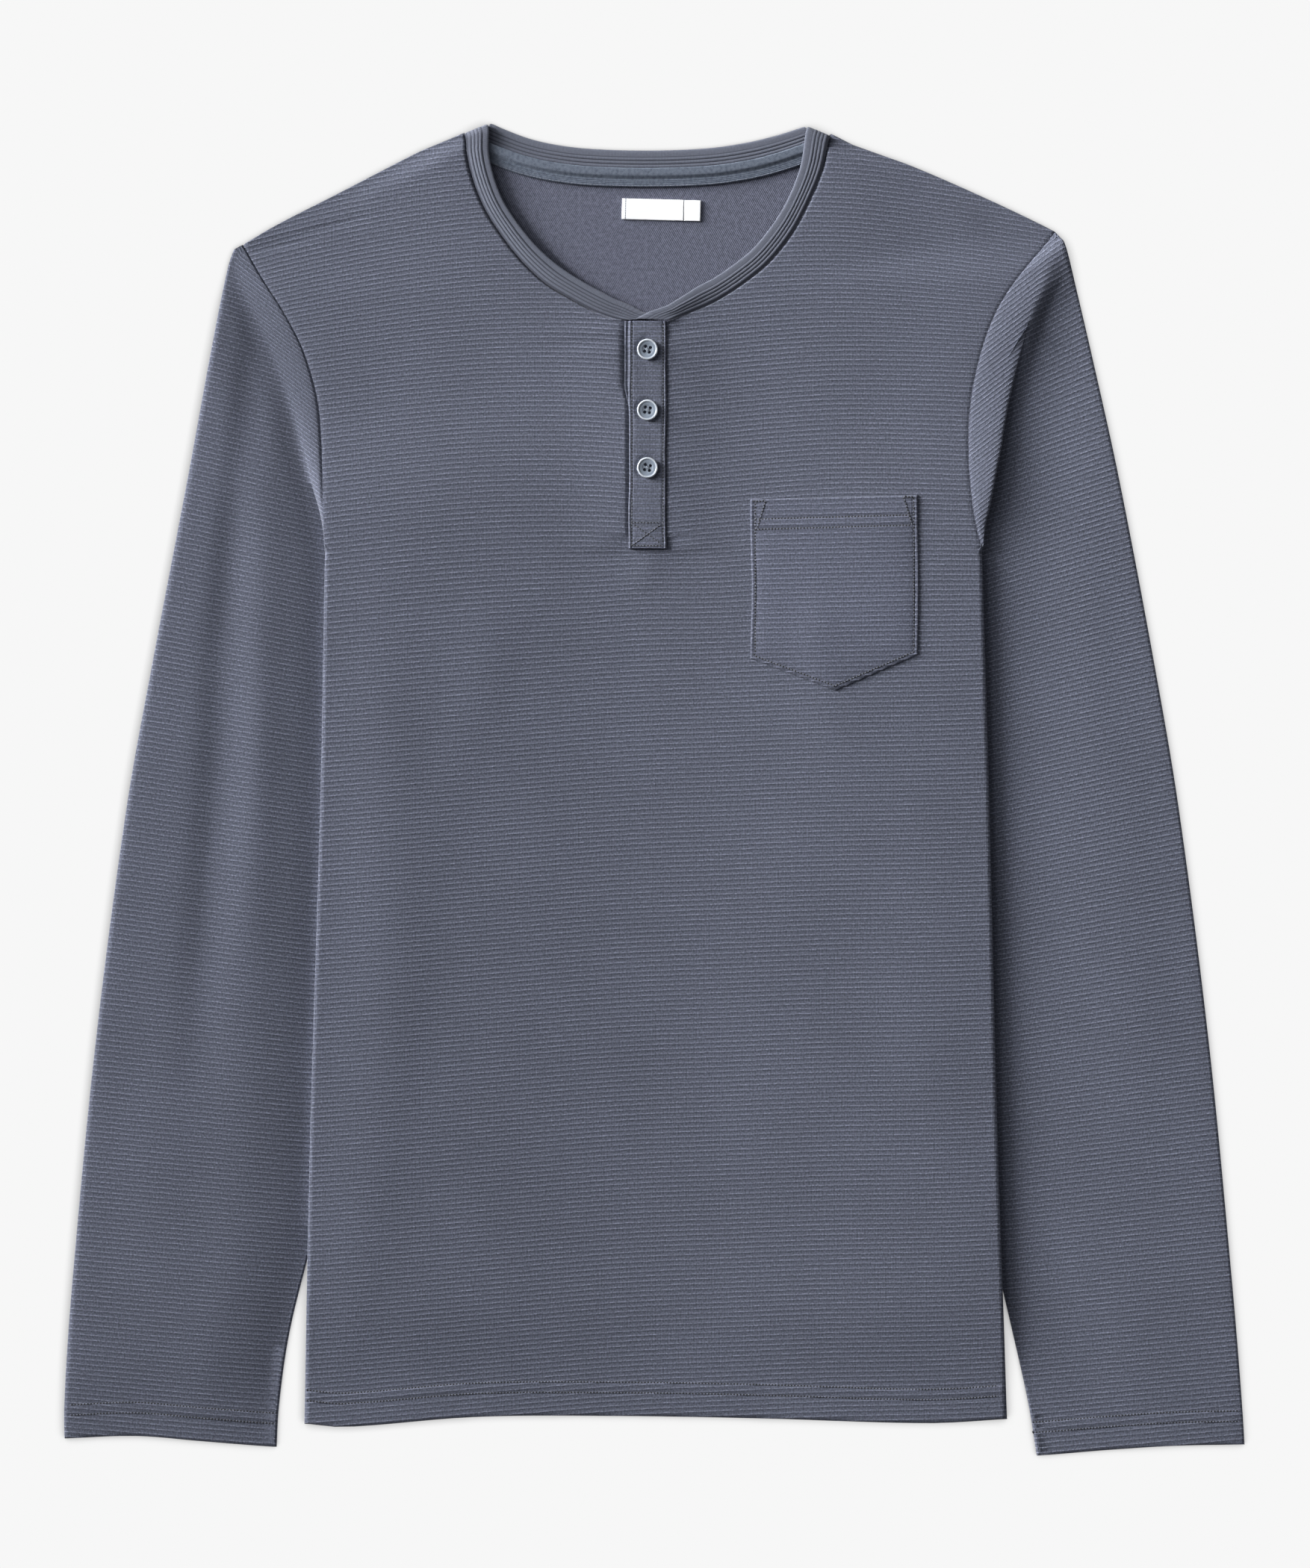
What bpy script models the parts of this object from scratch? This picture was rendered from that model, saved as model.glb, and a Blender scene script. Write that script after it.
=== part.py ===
"""A long-sleeved henley shirt laid out flat, face up.

The sides of the body are turned under, so each long edge of the body is a fold of the front
panel, and the side seams lie beneath. The sleeves are brought down beside the body and partly
under it. Every cloth piece is a wall of even thickness between an outer and an inner surface.

Sizes are in millimetres and become metres where a mesh is made. X runs to the right as the
shirt is looked at, Y up towards the neck and Z up from the surface that it lies on. A distance
called "out" is measured from the middle line towards either side.
"""

import math
from collections import namedtuple

import bmesh
import bpy

MM = 0.001
SIDES = ("left", "right")
SIGN = {"left": -1.0, "right": 1.0}

# Cloth: rib jersey, and the gap that keeps two touching pieces apart.
WALL = 1.0
GAP = 0.3
PITCH = WALL + GAP

# Body.
HEM_Y = -346.5
SEAM_OUT = 101.0
UNDERARM_Y = 76.5
FOLD_TOP_Y = 134.0
FOLD_FULL_Y = 127.0
PLACKET_X = -3.9
SLIT_HALF = 8.5
TIP_Y = {"left": 299.0, "right": 306.0}

# Radii of the long side folds, from the middle of the four layers that turn there.
FRONT_OUTER_R = 2.0 * WALL + 1.5 * GAP
FRONT_INNER_R = WALL + 1.5 * GAP
BACK_OUTER_R = WALL + 0.5 * GAP
BACK_INNER_R = 0.5 * GAP
FOLD_CELLS = 4
MARGIN_CELLS = 3

# Neckband, tape and placket.
BAND_HALF = 0.7
RIB_RISE = 0.35
RIB_COUNT = 4
BAND_FRONT_MID = 4.85
BAND_BACK_MID = BAND_HALF + RIB_RISE
TAPE_UP = 3.0
TAPE_DOWN = 7.5
TAPE_WALL = 1.0
NECK_AIR = 2.1
PLACKET_TOP_Y = 256.8
PLACKET_END_Y = 131.8
PLACKET_HALF = 10.25
PLACKET_WALL = 1.2
UNDER_WALL = 1.0
UNDER_SHOWS = 2.5

# Pocket.
POCKET_LEFT = 52.9
POCKET_RIGHT = 144.4
POCKET_TOP_LEFT_Y = 158.9
POCKET_TOP_RIGHT_Y = 161.3
POCKET_BOTTOM_LEFT_Y = 71.3
POCKET_BOTTOM_RIGHT_Y = 73.6
POCKET_POINT_X = 98.8
POCKET_POINT_Y = 53.9
POCKET_AIR = 0.8

# Buttons and label.
BUTTON_R = 5.7
BUTTON_HOLE_R = 0.85
BUTTON_HOLE_OUT = 1.45
BUTTON_DISH = 1.7
BUTTON_Y = (241.1, 207.8, 176.2)
LABEL_MIDDLE = (-1.0, 318.4)
LABEL_SIZE = (34.0, 11.5)
SIZE_TAB_WIDTH = 9.0
LABEL_TILT = math.radians(-1.5)
LABEL_WALL = 0.7

Row = namedtuple("Row", "y left right")
Place = namedtuple("Place", "x y")
Station = namedtuple("Station", "x y lean width mid turn rib")
Trough = namedtuple("Trough", "side top bottom across half depth")
Ridge = namedtuple("Ridge", "top_x top_y low_x low_y half rise")

# How far out each outline lies, left and right, at heights up the shirt.
BODY_EDGE = (
    Row(135.0, 180.8, 179.5),
    Row(0.0, 183.3, 183.5),
    Row(-190.0, 189.0, 188.2),
    Row(-350.0, 192.4, 193.7),
)
ARMHOLE = (
    Row(306.0, 230.5, 220.0),
    Row(299.0, 226.3, 214.6),
    Row(280.0, 215.3, 198.8),
    Row(262.0, 203.8, 187.4),
    Row(240.0, 192.7, 179.2),
    Row(212.0, 184.9, 173.3),
    Row(180.0, 182.5, 172.3),
    Row(150.0, 181.8, 175.2),
    Row(134.0, 180.9, 178.7),
)
SHOULDER = (
    Row(360.0, 106.2, 97.3),
    Row(356.0, 115.0, 104.2),
    Row(351.0, 127.5, 116.5),
    Row(343.0, 143.5, 139.5),
    Row(327.0, 174.3, 176.6),
    Row(310.0, 207.6, 212.6),
    Row(299.0, 226.3, 233.0),
)
SLEEVE_OUTER = (
    Row(306.0, 226.0, 222.6),
    Row(298.0, 230.4, 225.8),
    Row(286.0, 234.6, 229.0),
    Row(236.0, 244.4, 240.7),
    Row(171.0, 256.3, 255.0),
    Row(72.0, 275.2, 273.9),
    Row(-10.0, 289.9, 287.8),
    Row(-140.0, 307.0, 304.5),
    Row(-272.0, 319.8, 317.3),
    Row(-338.0, 324.2, 322.7),
    Row(-366.0, 324.0, 324.4),
)
SLEEVE_INNER = (
    Row(76.5, 101.0, 101.0),
    Row(-100.0, 148.8, 146.5),
    Row(-260.0, 191.2, 187.4),
    Row(-300.0, 200.9, 197.0),
    Row(-338.0, 206.3, 205.4),
    Row(-366.0, 207.9, 209.9),
)
STRIP_WIDTH = (
    Row(306.0, 2.0, 2.0),
    Row(284.0, 12.0, 11.0),
    Row(260.0, 17.0, 18.0),
    Row(228.0, 18.0, 21.0),
    Row(190.0, 12.0, 18.5),
    Row(155.0, 5.0, 9.5),
    Row(134.0, 1.0, 1.6),
)
HEM_LINE = (
    Place(-192.0, -348.5),
    Place(-170.0, -350.3),
    Place(-98.0, -344.8),
    Place(-18.0, -344.4),
    Place(63.0, -345.8),
    Place(150.0, -348.2),
    Place(193.0, -346.0),
)
CUFF_EDGE = {
    "left": (Place(324.0, -356.8), Place(285.0, -355.4), Place(250.0, -358.2), Place(208.0, -361.6)),
    "right": (Place(324.4, -360.2), Place(285.0, -361.0), Place(250.0, -363.2), Place(210.0, -366.4)),
}

# Heights of the sections through the body, from the hem up to where the neckline starts.
BODY_ROWS = (
    HEM_Y, -328, -290, -235, -170, -105, -42, 14, 54, UNDERARM_Y,
    88, 104, 118, FOLD_FULL_Y, 130.5, FOLD_TOP_Y,
    146, 164, 186, 212, 240, 255.5,
)
SLEEVE_ROWS = (
    130.5, FOLD_FULL_Y, 112, 94, UNDERARM_Y,
    66, 30, -20, -75, -130, -185, -235, -275, -310, -340, -361,
)
# The armhole seams run straight between these heights, which every piece along them shares.
SEAM_ROWS = {
    "left": (FOLD_TOP_Y, 146, 164, 186, 212, 240, 255.5, 268.7, 277.4, 289.7, TIP_Y["left"]),
    "right": (FOLD_TOP_Y, 146, 164, 186, 212, 240, 255.5, 265.0, 277.7, 288.5, TIP_Y["right"]),
}

# The neckband's sections: the seam end, the way the section leans, its width, the height of its
# middle, how far it has turned over at the shoulder folds, and how much of the rib stands up.
FRONT_LEFT_BAND = (
    Station(-16.2, 257.4, 4, 19.0, 4.5, 0, 0.0),
    Station(-18.5, 257.6, 24, 11.5, 4.6, 0, 0.3),
    Station(-22.0, 257.9, 66, 10.2, 4.7, 0, 0.8),
    Station(-32.7, 261.7, 62, 11.3, BAND_FRONT_MID, 0, 1.0),
    Station(-46.0, 268.7, 57, 11.5, BAND_FRONT_MID, 0, 1.0),
    Station(-60.1, 277.4, 53, 12.0, BAND_FRONT_MID, 0, 1.0),
    Station(-73.2, 289.7, 45, 11.6, BAND_FRONT_MID, 0, 1.0),
    Station(-84.8, 304.5, 34, 11.2, BAND_FRONT_MID, 0, 1.0),
    Station(-93.5, 318.5, 27, 11.1, BAND_FRONT_MID, 0, 1.0),
    Station(-99.7, 333.5, 20, 11.6, BAND_FRONT_MID, 0, 1.0),
    Station(-103.3, 348.0, 12, 12.3, BAND_FRONT_MID, 0, 1.0),
)
LEFT_PEAK = Station(-103.9, 357.6, 23, 13.8, BAND_FRONT_MID, 0, 0.6)
BACK_BAND = (
    Station(-98.6, 355.4, 50, 13.4, BAND_BACK_MID, 180, 0.8),
    Station(-88.6, 351.0, 66, 13.0, BAND_BACK_MID, 180, 1.0),
    Station(-72.6, 345.2, 75, 12.8, BAND_BACK_MID, 180, 1.0),
    Station(-56.6, 341.5, 82, 12.8, BAND_BACK_MID, 180, 1.0),
    Station(-36.6, 339.1, 87, 12.8, BAND_BACK_MID, 180, 1.0),
    Station(-3.3, 338.2, 90, 12.7, BAND_BACK_MID, 180, 1.0),
    Station(30.0, 339.4, 94, 12.8, BAND_BACK_MID, 180, 1.0),
    Station(52.5, 342.6, 100, 12.8, BAND_BACK_MID, 180, 1.0),
    Station(69.0, 346.9, 108, 12.4, BAND_BACK_MID, 180, 1.0),
    Station(82.0, 351.4, 115, 12.0, BAND_BACK_MID, 180, 1.0),
    Station(90.6, 355.0, 132, 12.0, BAND_BACK_MID, 180, 0.8),
)
RIGHT_PEAK = Station(95.7, 356.3, 157, 13.4, BAND_FRONT_MID, 0, 0.6)
FRONT_RIGHT_BAND = (
    Station(92.0, 339.5, 162, 12.0, BAND_FRONT_MID, 0, 1.0),
    Station(84.2, 321.0, 154, 11.0, BAND_FRONT_MID, 0, 1.0),
    Station(75.2, 304.5, 148, 11.4, BAND_FRONT_MID, 0, 1.0),
    Station(62.4, 288.5, 136, 11.5, BAND_FRONT_MID, 0, 1.0),
    Station(49.3, 277.7, 127, 11.5, BAND_FRONT_MID, 0, 1.0),
    Station(37.3, 269.7, 119, 11.5, BAND_FRONT_MID, 0, 1.0),
    Station(28.5, 265.0, 117, 11.0, 5.0, 0, 1.0),
    Station(17.0, 260.3, 116, 9.3, 5.7, 0, 0.9),
    Station(8.9, 257.4, 178, 19.0, 6.4, 0, 0.0),
)
PEAK_TURNS = (0, 45, 90, 135, 180)

# Soft troughs along the sleeves, by how far across the visible sleeve they lie.
SLEEVE_TROUGHS = (
    Trough("left", 262.0, -110.0, 0.60, 0.22, 2.0),
    Trough("left", 70.0, -60.0, 0.26, 0.10, 1.2),
    Trough("left", -150.0, -330.0, 0.42, 0.20, 1.4),
    Trough("right", 120.0, -90.0, 0.50, 0.18, 1.4),
    Trough("right", -120.0, -320.0, 0.36, 0.22, 1.6),
)
# Soft ridges of the front panel.
FRONT_RIDGES = (
    Ridge(-140.0, 60.0, -165.0, -300.0, 24.0, 1.0),
    Ridge(-88.0, 90.0, -112.0, -320.0, 34.0, 1.5),
    Ridge(-20.0, 40.0, 5.0, -330.0, 50.0, 1.1),
    Ridge(70.0, 10.0, 84.0, -320.0, 42.0, 1.3),
    Ridge(140.0, 20.0, 150.0, -300.0, 26.0, 1.1),
    Ridge(-120.0, 240.0, -60.0, 150.0, 40.0, 1.2),
    Ridge(120.0, 262.0, 60.0, 180.0, 38.0, 1.0),
)


def eased(t):
    """Runs from 0 to 1, level at both ends."""
    t = min(1.0, max(0.0, t))
    return t * t * (3.0 - 2.0 * t)


def mixed(a, b, t):
    return a + (b - a) * t


def curve_through(knots, at):
    """The height at "at" of a smooth curve through (position, height) knots in rising order."""
    last = len(knots) - 2
    i = next((k for k in range(last) if at < knots[k + 1][0]), last)
    (x0, v0), (x1, v1) = knots[i], knots[i + 1]
    before = knots[max(i - 1, 0)]
    after = knots[min(i + 2, len(knots) - 1)]
    span = x1 - x0
    t = min(1.0, max(0.0, (at - x0) / span))
    slope0 = span * (v1 - before[1]) / (x1 - before[0])
    slope1 = span * (after[1] - v0) / (after[0] - x0)
    rise = v1 - v0
    bend = t * (1.0 - t)
    return v0 + rise * t + bend * ((1.0 - t) * (slope0 - rise) - t * (slope1 - rise))


def outline(table, side, y):
    """How far out a table's outline lies at a height."""
    return curve_through([(row.y, getattr(row, side)) for row in reversed(table)], y)


def filled(stations):
    """The stations of a band, with one more on a smooth curve where two are far apart."""
    found = [stations[0]]
    for k in range(1, len(stations)):
        low, high = stations[k - 1], stations[k]
        if math.hypot(high.x - low.x, high.y - low.y) > 14.0:
            before = stations[k - 2] if k > 1 else tuple(2.0 * a - b for a, b in zip(low, high))
            after = stations[k + 1] if k + 1 < len(stations) else tuple(2.0 * b - a for a, b in zip(low, high))
            middle = (0.5625 * (a + b) - 0.0625 * (c + d) for a, b, c, d in zip(low, high, before, after))
            found.append(Station(*middle))
        found.append(high)
    return found


def front_neck(side):
    """The neckband's sections along one side of the front neckline, from the placket up."""
    if side == "left":
        return filled(FRONT_LEFT_BAND + (LEFT_PEAK,))
    return filled(FRONT_RIGHT_BAND[::-1] + (RIGHT_PEAK,))


def back_neck(side):
    """Those along one side of the back neckline, from the middle."""
    band = filled(BACK_BAND)
    middle = min(range(len(band)), key=lambda k: band[k].y)
    return band[middle::-1] if side == "left" else band[middle:]


def neckline(side, stations, y):
    """How far out a neckline lies: it runs straight between the neckband's sections."""
    return SIGN[side] * straight_through([(station.y, station.x) for station in stations], y)


def hidden_armhole(side, y):
    """The armhole seam after it has turned under the body, down to the underarm."""
    top = outline(BODY_EDGE, side, FOLD_TOP_Y)
    return mixed(SEAM_OUT, top, max(0.0, (y - UNDERARM_Y) / (FOLD_TOP_Y - UNDERARM_Y)) ** 0.6)


def hidden_armhole_y(out):
    """The height of that seam at a distance out, and the underarm's height further in."""
    share = min(1.0, max(0.0, (out - SEAM_OUT) / (180.0 - SEAM_OUT)))
    return mixed(UNDERARM_Y, FOLD_TOP_Y, share ** (1.0 / 0.6))


def straight_through(knots, at):
    """The height at "at" of straight runs through (position, height) knots in rising order."""
    for (x0, v0), (x1, v1) in zip(knots, knots[1:]):
        if at <= x1:
            break
    return mixed(v0, v1, (at - x0) / (x1 - x0))


def armhole(side, y):
    return straight_through([(row, outline(ARMHOLE, side, row)) for row in SEAM_ROWS[side]], y)


def panel_edge(side, y):
    """The outer edge of the front and back panels above the side folds."""
    return armhole(side, y) if y <= TIP_Y[side] else outline(SHOULDER, side, y)


def lift(side, out, y):
    """The height of the back panel's underside: it rides over the turned-under margin and the
    hidden part of the sleeve, and lies on the surface in the middle and at the shoulders."""
    above = 1.0 - eased((y - hidden_armhole_y(out) - 8.0) / 80.0)
    over_margin = eased((out - 34.0) / 60.0)
    inner = outline(SLEEVE_INNER, side, y) if y < UNDERARM_Y else SEAM_OUT
    over_sleeve = eased((out - inner + 62.0) / 54.0) * eased((y + 340.0) / 60.0)
    return 2.0 * PITCH * above * (over_margin + over_sleeve)


def ridge_rise(x, y):
    """Soft ridges of the front panel, each a raised cosine across and along its run."""
    total = 0.0
    for ridge in FRONT_RIDGES:
        share = (ridge.top_y - y) / (ridge.top_y - ridge.low_y)
        if 0.0 < share < 1.0:
            off = (x - mixed(ridge.top_x, ridge.low_x, share)) / ridge.half
            if abs(off) < 1.0:
                along = math.sin(math.pi * share) ** 0.7
                total += ridge.rise * along * math.cos(0.5 * math.pi * off) ** 2
    return total


def front_air(side, out, y):
    """The air between the front and back panels: at the neckband, along the armholes, where the
    sleeve cloth doubles up, and under the soft ridges."""
    if y > FOLD_TOP_Y:
        edge = panel_edge(side, y)
        from_neck = math.hypot((SIGN[side] * out + 4.0) / 104.0, (y - 352.0) / 96.0)
        at_shoulder = eased((edge - out) / 26.0) if y > TIP_Y[side] - 20.0 else 1.0
        neck = NECK_AIR * (1.0 - eased((from_neck - 1.06) / 0.8)) * at_shoulder
        doubled = {"left": 1.2, "right": 2.0 * PITCH}[side]
        near = eased((out - edge + 62.0) / 56.0) * eased((TIP_Y[side] - y) / 30.0)
        strip = doubled * near * (1.0 - lift(side, out, y) / (4.0 * PITCH))
        inside = eased((edge - out) / 30.0)
        return neck + strip + inside * ridge_rise(SIGN[side] * out, y)
    edge = outline(BODY_EDGE, side, y) - FRONT_OUTER_R
    joined = eased((y - FOLD_FULL_Y + 30.0) / 37.0)
    return eased((edge - out) / 30.0) * ridge_rise(SIGN[side] * out, y) + joined * front_air_at_fold(side, out)


def front_air_at_fold(side, out):
    """What the air along the armhole leaves just above the side fold."""
    edge = panel_edge(side, FOLD_TOP_Y + 0.01)
    doubled = {"left": 1.2, "right": 2.0 * PITCH}[side]
    near = eased((out - edge + 62.0) / 56.0)
    return doubled * near * (1.0 - lift(side, out, FOLD_TOP_Y) / (4.0 * PITCH)) * eased((edge - out) / 14.0)


def front_top(x, y):
    """The height of the front panel's face at a place on the body."""
    side = "left" if x < 0.0 else "right"
    out = abs(x)
    return lift(side, out, y) + PITCH + front_air(side, out, y) + WALL


def section_y(x, y):
    """The height of a body section at x: the lowest ones bend to follow the hem."""
    hem = curve_through([(place.x, place.y) for place in HEM_LINE], x)
    return y + (hem - HEM_Y) * eased((-235.0 - y) / (-235.0 - HEM_Y))


def spread(knots, cells):
    """Positions from each knot to the next, in even cells."""
    found = [knots[0]]
    for low, high, count in zip(knots, knots[1:], cells):
        found += [mixed(low, high, k / count) for k in range(1, count + 1)]
    return found


def panel_section(side, y, inner, is_front, hem_rise=0.0):
    """(outer point, inner point) pairs of a body panel from its inner edge out to the armhole
    or, lower down, round the side fold and in under the body to the side seam."""
    sign = SIGN[side]
    outer_r, inner_r = (FRONT_OUTER_R, FRONT_INNER_R) if is_front else (BACK_OUTER_R, BACK_INNER_R)
    turned = y < FOLD_TOP_Y
    end = outline(BODY_EDGE, side, y) - FRONT_OUTER_R if turned else panel_edge(side, y)
    width = end - inner
    knots = (inner, max(44.0, inner + 0.15 * width), max(SEAM_OUT, inner + 0.45 * width), end)
    stations = spread(knots, (2, 3, MARGIN_CELLS))
    pairs = []

    def pair(out, outer_z, inner_z, inner_out=None):
        x = sign * out
        inner_x = x if inner_out is None else sign * inner_out
        line = section_y(x, y) + hem_rise
        pairs.append(((x, line, outer_z), (inner_x, line, inner_z)))

    for out in stations:
        base = lift(side, out, y)
        if is_front:
            base += PITCH + front_air(side, out, y)
        pair(out, base + WALL, base)
    if not turned:
        return pairs + [pairs[-1]] * (FOLD_CELLS + MARGIN_CELLS)
    middle = lift(side, end, y) - 0.5 * GAP
    full = y <= FOLD_FULL_Y
    sweep = math.pi if full else 0.62 * math.pi
    for k in range(1, FOLD_CELLS + 1):
        angle = sweep * k / FOLD_CELLS
        across, up = math.sin(angle), math.cos(angle)
        pair(end + outer_r * across, middle + outer_r * up, middle + inner_r * up, end + inner_r * across)
    if not full:
        return pairs + [pairs[-1]] * MARGIN_CELLS
    reach = SEAM_OUT if y <= UNDERARM_Y else hidden_armhole(side, y)
    for k in range(1, MARGIN_CELLS + 1):
        out = mixed(end, reach, k / MARGIN_CELLS)
        low = lift(side, out, y) - 0.5 * GAP
        pair(out, low - outer_r, low - inner_r)
    return pairs


def sleeve_start(side, y):
    """Where the loose part of the sleeve's top layer starts, beside the body or the seam strip."""
    if y >= FOLD_TOP_Y:
        return armhole(side, y) + outline(STRIP_WIDTH, side, y) + 1.5
    return max(outline(BODY_EDGE, side, y) + 1.0, outline(SLEEVE_INNER, side, y) + 4.0)


def sleeve_air(side, out, y):
    """The height of the underside of the sleeve's top layer."""
    start = sleeve_start(side, y)
    end = outline(SLEEVE_OUTER, side, y) - 2.0
    share = min(1.0, max(0.0, (out - start) / max(end - start, 1.0)))
    rise = 1.6 * eased(share / 0.45) + 2.2 * math.sin(math.pi * share) ** 1.3
    for trough in SLEEVE_TROUGHS:
        if trough.side == side and trough.bottom < y < trough.top:
            off = abs(share - trough.across) / trough.half
            if off < 1.0:
                along = math.sin(math.pi * (trough.top - y) / (trough.top - trough.bottom)) ** 0.6
                rise -= trough.depth * along * math.cos(0.5 * math.pi * off) ** 2
    rise *= eased((TIP_Y[side] - y) / 40.0) * (0.35 + 0.65 * eased((y + 366.0) / 60.0))
    top = PITCH + max(0.0, rise)
    if y < FOLD_TOP_Y or out > start:
        return top
    seam = armhole(side, y)
    level = lift(side, seam, y) + PITCH + front_air(side, seam, y)
    level = mixed(PITCH, level, 0.55 + 0.45 * eased((y - FOLD_TOP_Y) / 12.0))
    if side == "right":
        return level if out < start - 1.0 else top
    return mixed(level, PITCH + 0.4, eased((out - seam) / (start - seam)))


def sleeve_section(side, y):
    """(outer point, inner point) pairs round a sleeve: in the surface's plane from the inner
    end out, round the outer fold, back over the top and, below the underarm, round the inner
    fold. The section leans with the cuff near its end."""
    sign = SIGN[side]
    tube = y <= UNDERARM_Y
    if y >= FOLD_TOP_Y:
        inner = armhole(side, y) + 1.2 * GAP
    else:
        inner = outline(SLEEVE_INNER, side, y) if tube else hidden_armhole(side, y)
    edge = outline(SLEEVE_OUTER, side, y)
    start = sleeve_start(side, y)
    edge_top = sleeve_air(side, edge - 2.0, y) + WALL
    outer_r = 0.5 * edge_top
    inner_r = outer_r - WALL
    turn = edge - outer_r
    tube_r = 0.5 * (PITCH + WALL)
    low_inner = inner + tube_r if tube else inner
    knots = [(-place.x, place.y) for place in CUFF_EDGE[side]]

    def line(out):
        slope = 0.5 * (out - inner) * eased((y - TIP_Y[side] + 24.0) / 24.0)
        return y - slope + (curve_through(knots, -out) + 361.0) * eased((-235.0 - y) / 126.0)

    def pair(out, outer_z, inner_z, inner_out):
        return ((sign * out, line(out), outer_z), (sign * inner_out, line(out), inner_z))

    pairs = [pair(out, 0.0, WALL, out) for out in spread((low_inner, turn), (4,))]
    for k in range(1, FOLD_CELLS):
        angle = math.pi * k / FOLD_CELLS
        across, up = math.sin(angle), -math.cos(angle)
        pairs.append(
            pair(turn + outer_r * across, outer_r * (1.0 + up), outer_r + inner_r * up, turn + inner_r * across)
        )
    first = start - 1.5 if y >= FOLD_TOP_Y else mixed(low_inner, start, 0.8)
    stations = spread((low_inner, first, start, turn), (2, 1, 5))[::-1]
    for out in stations:
        under = sleeve_air(side, out, y)
        pairs.append(pair(out, under + WALL, under, out))
    if tube:
        for k in range(1, FOLD_CELLS):
            angle = math.pi * k / FOLD_CELLS
            across, up = math.sin(angle), math.cos(angle)
            small = 0.5 * GAP
            pairs.append(
                pair(low_inner - tube_r * across, tube_r * (1.0 + up), tube_r + small * up, low_inner - small * across)
            )
        pairs.append(pairs[0])
    return pairs


def wall_from(name, grids, finish, flip=False):
    """A closed wall from grids of (outer point, inner point) pairs: cells between neighbouring
    rows make its two surfaces, and a rim joins them along every open edge. Points that fall
    together are one, so a row may gather several of its pairs at one place."""
    numbers = {}
    points = []
    surface = []

    def number(pair):
        key = tuple(round(value, 3) for value in pair[0])
        if key not in numbers:
            numbers[key] = len(points)
            points.append(pair)
        return numbers[key]

    for grid in grids:
        for row, following in zip(grid, grid[1:]):
            cells = min(len(row), len(following)) - 1
            for c in range(cells):
                a, b = number(row[c]), number(row[c + 1])
                d, e = number(following[c + 1]), number(following[c])
                for face in ((a, b, d), (a, d, e)):
                    if len(set(face)) == 3:
                        surface.append(face[::-1] if flip ^ grid_is_mirrored(grid) else face)
    edges = {(face[k], face[(k + 1) % 3]) for face in surface for k in range(3)}
    mesh = bmesh.new()
    outer = [mesh.verts.new([MM * value for value in pair[0]]) for pair in points]
    inner = [mesh.verts.new([MM * value for value in pair[1]]) for pair in points]
    for a, b, c in surface:
        mesh.faces.new((outer[a], outer[b], outer[c]))
        mesh.faces.new((inner[c], inner[b], inner[a]))
    for a, b in edges:
        if (b, a) not in edges:
            mesh.faces.new((outer[b], outer[a], inner[a], inner[b]))
    return mesh_object(name, mesh, finish)


def grid_is_mirrored(grid):
    """Whether a grid's rows run leftwards, as the left half of the body does."""
    return grid[0][0][0][0] > grid[0][1][0][0]


def mesh_object(name, mesh, finish):
    """Puts a bmesh into a new object of the shirt's collection."""
    bmesh.ops.recalc_face_normals(mesh, faces=mesh.faces)
    data = bpy.data.meshes.new(name)
    mesh.to_mesh(data)
    mesh.free()
    data.shade_smooth()
    data.set_sharp_from_angle(angle=math.radians(50.0))
    data.materials.append(finish)
    made = bpy.data.objects.new(name, data)
    bpy.data.collections["henley_shirt"].objects.link(made)
    return made


def material(name, colour, roughness, sheen=0.0):
    made = bpy.data.materials.new(name)
    made.use_nodes = True
    shader = made.node_tree.nodes["Principled BSDF"]
    shader.inputs["Base Color"].default_value = (*colour, 1.0)
    shader.inputs["Roughness"].default_value = roughness
    shader.inputs["Metallic"].default_value = 0.0
    shader.inputs["Sheen Weight"].default_value = sheen
    made.diffuse_color = (*colour, 1.0)
    return made


def clear_scene():
    for old in list(bpy.data.objects):
        bpy.data.objects.remove(old, do_unlink=True)
    shirt = bpy.data.collections.new("henley_shirt")
    bpy.context.scene.collection.children.link(shirt)
    helpers = bpy.data.collections.new("cutters")
    bpy.context.scene.collection.children.link(helpers)


def front_panel(finish):
    """The front, with its neckline and the slit that the placket closes."""
    grids = []
    for side in SIDES:
        neck = front_neck(side)
        above = {station.y for station in neck[:-1] if station.y > 257.8} | set(SEAM_ROWS[side][7:])
        peak = neck[-1]
        rows = []
        for y in BODY_ROWS:
            inner = SIGN[side] * PLACKET_X + (SLIT_HALF if y > FOLD_TOP_Y else 0.0)
            rows.append(panel_section(side, y, inner, True))
        rows += [panel_section(side, y, neckline(side, neck, y), True) for y in sorted(above)]
        rows.append(panel_section(side, peak.y - 0.6, abs(peak.x) + 0.2, True))
        rows.append(panel_section(side, peak.y + 1.8, abs(peak.x) + 1.4, True))
        grids.append(rows)
    return wall_from("front_panel", grids, finish)


def back_panel(finish):
    """The back, whose neckline is much shallower."""
    grids = []
    for side in SIDES:
        middle = SIGN[side] * PLACKET_X
        neck = back_neck(side)
        rows = []
        for y in BODY_ROWS + SEAM_ROWS[side][7:] + (322.0, neck[0].y - GAP):
            rows.append(panel_section(side, y, middle, False, 1.5 if y == HEM_Y else 0.0))
        for station in neck[1:]:
            rows.append(panel_section(side, station.y - GAP, abs(station.x) + GAP, False))
        grids.append(rows)
    return wall_from("back_panel", grids, finish)


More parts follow.
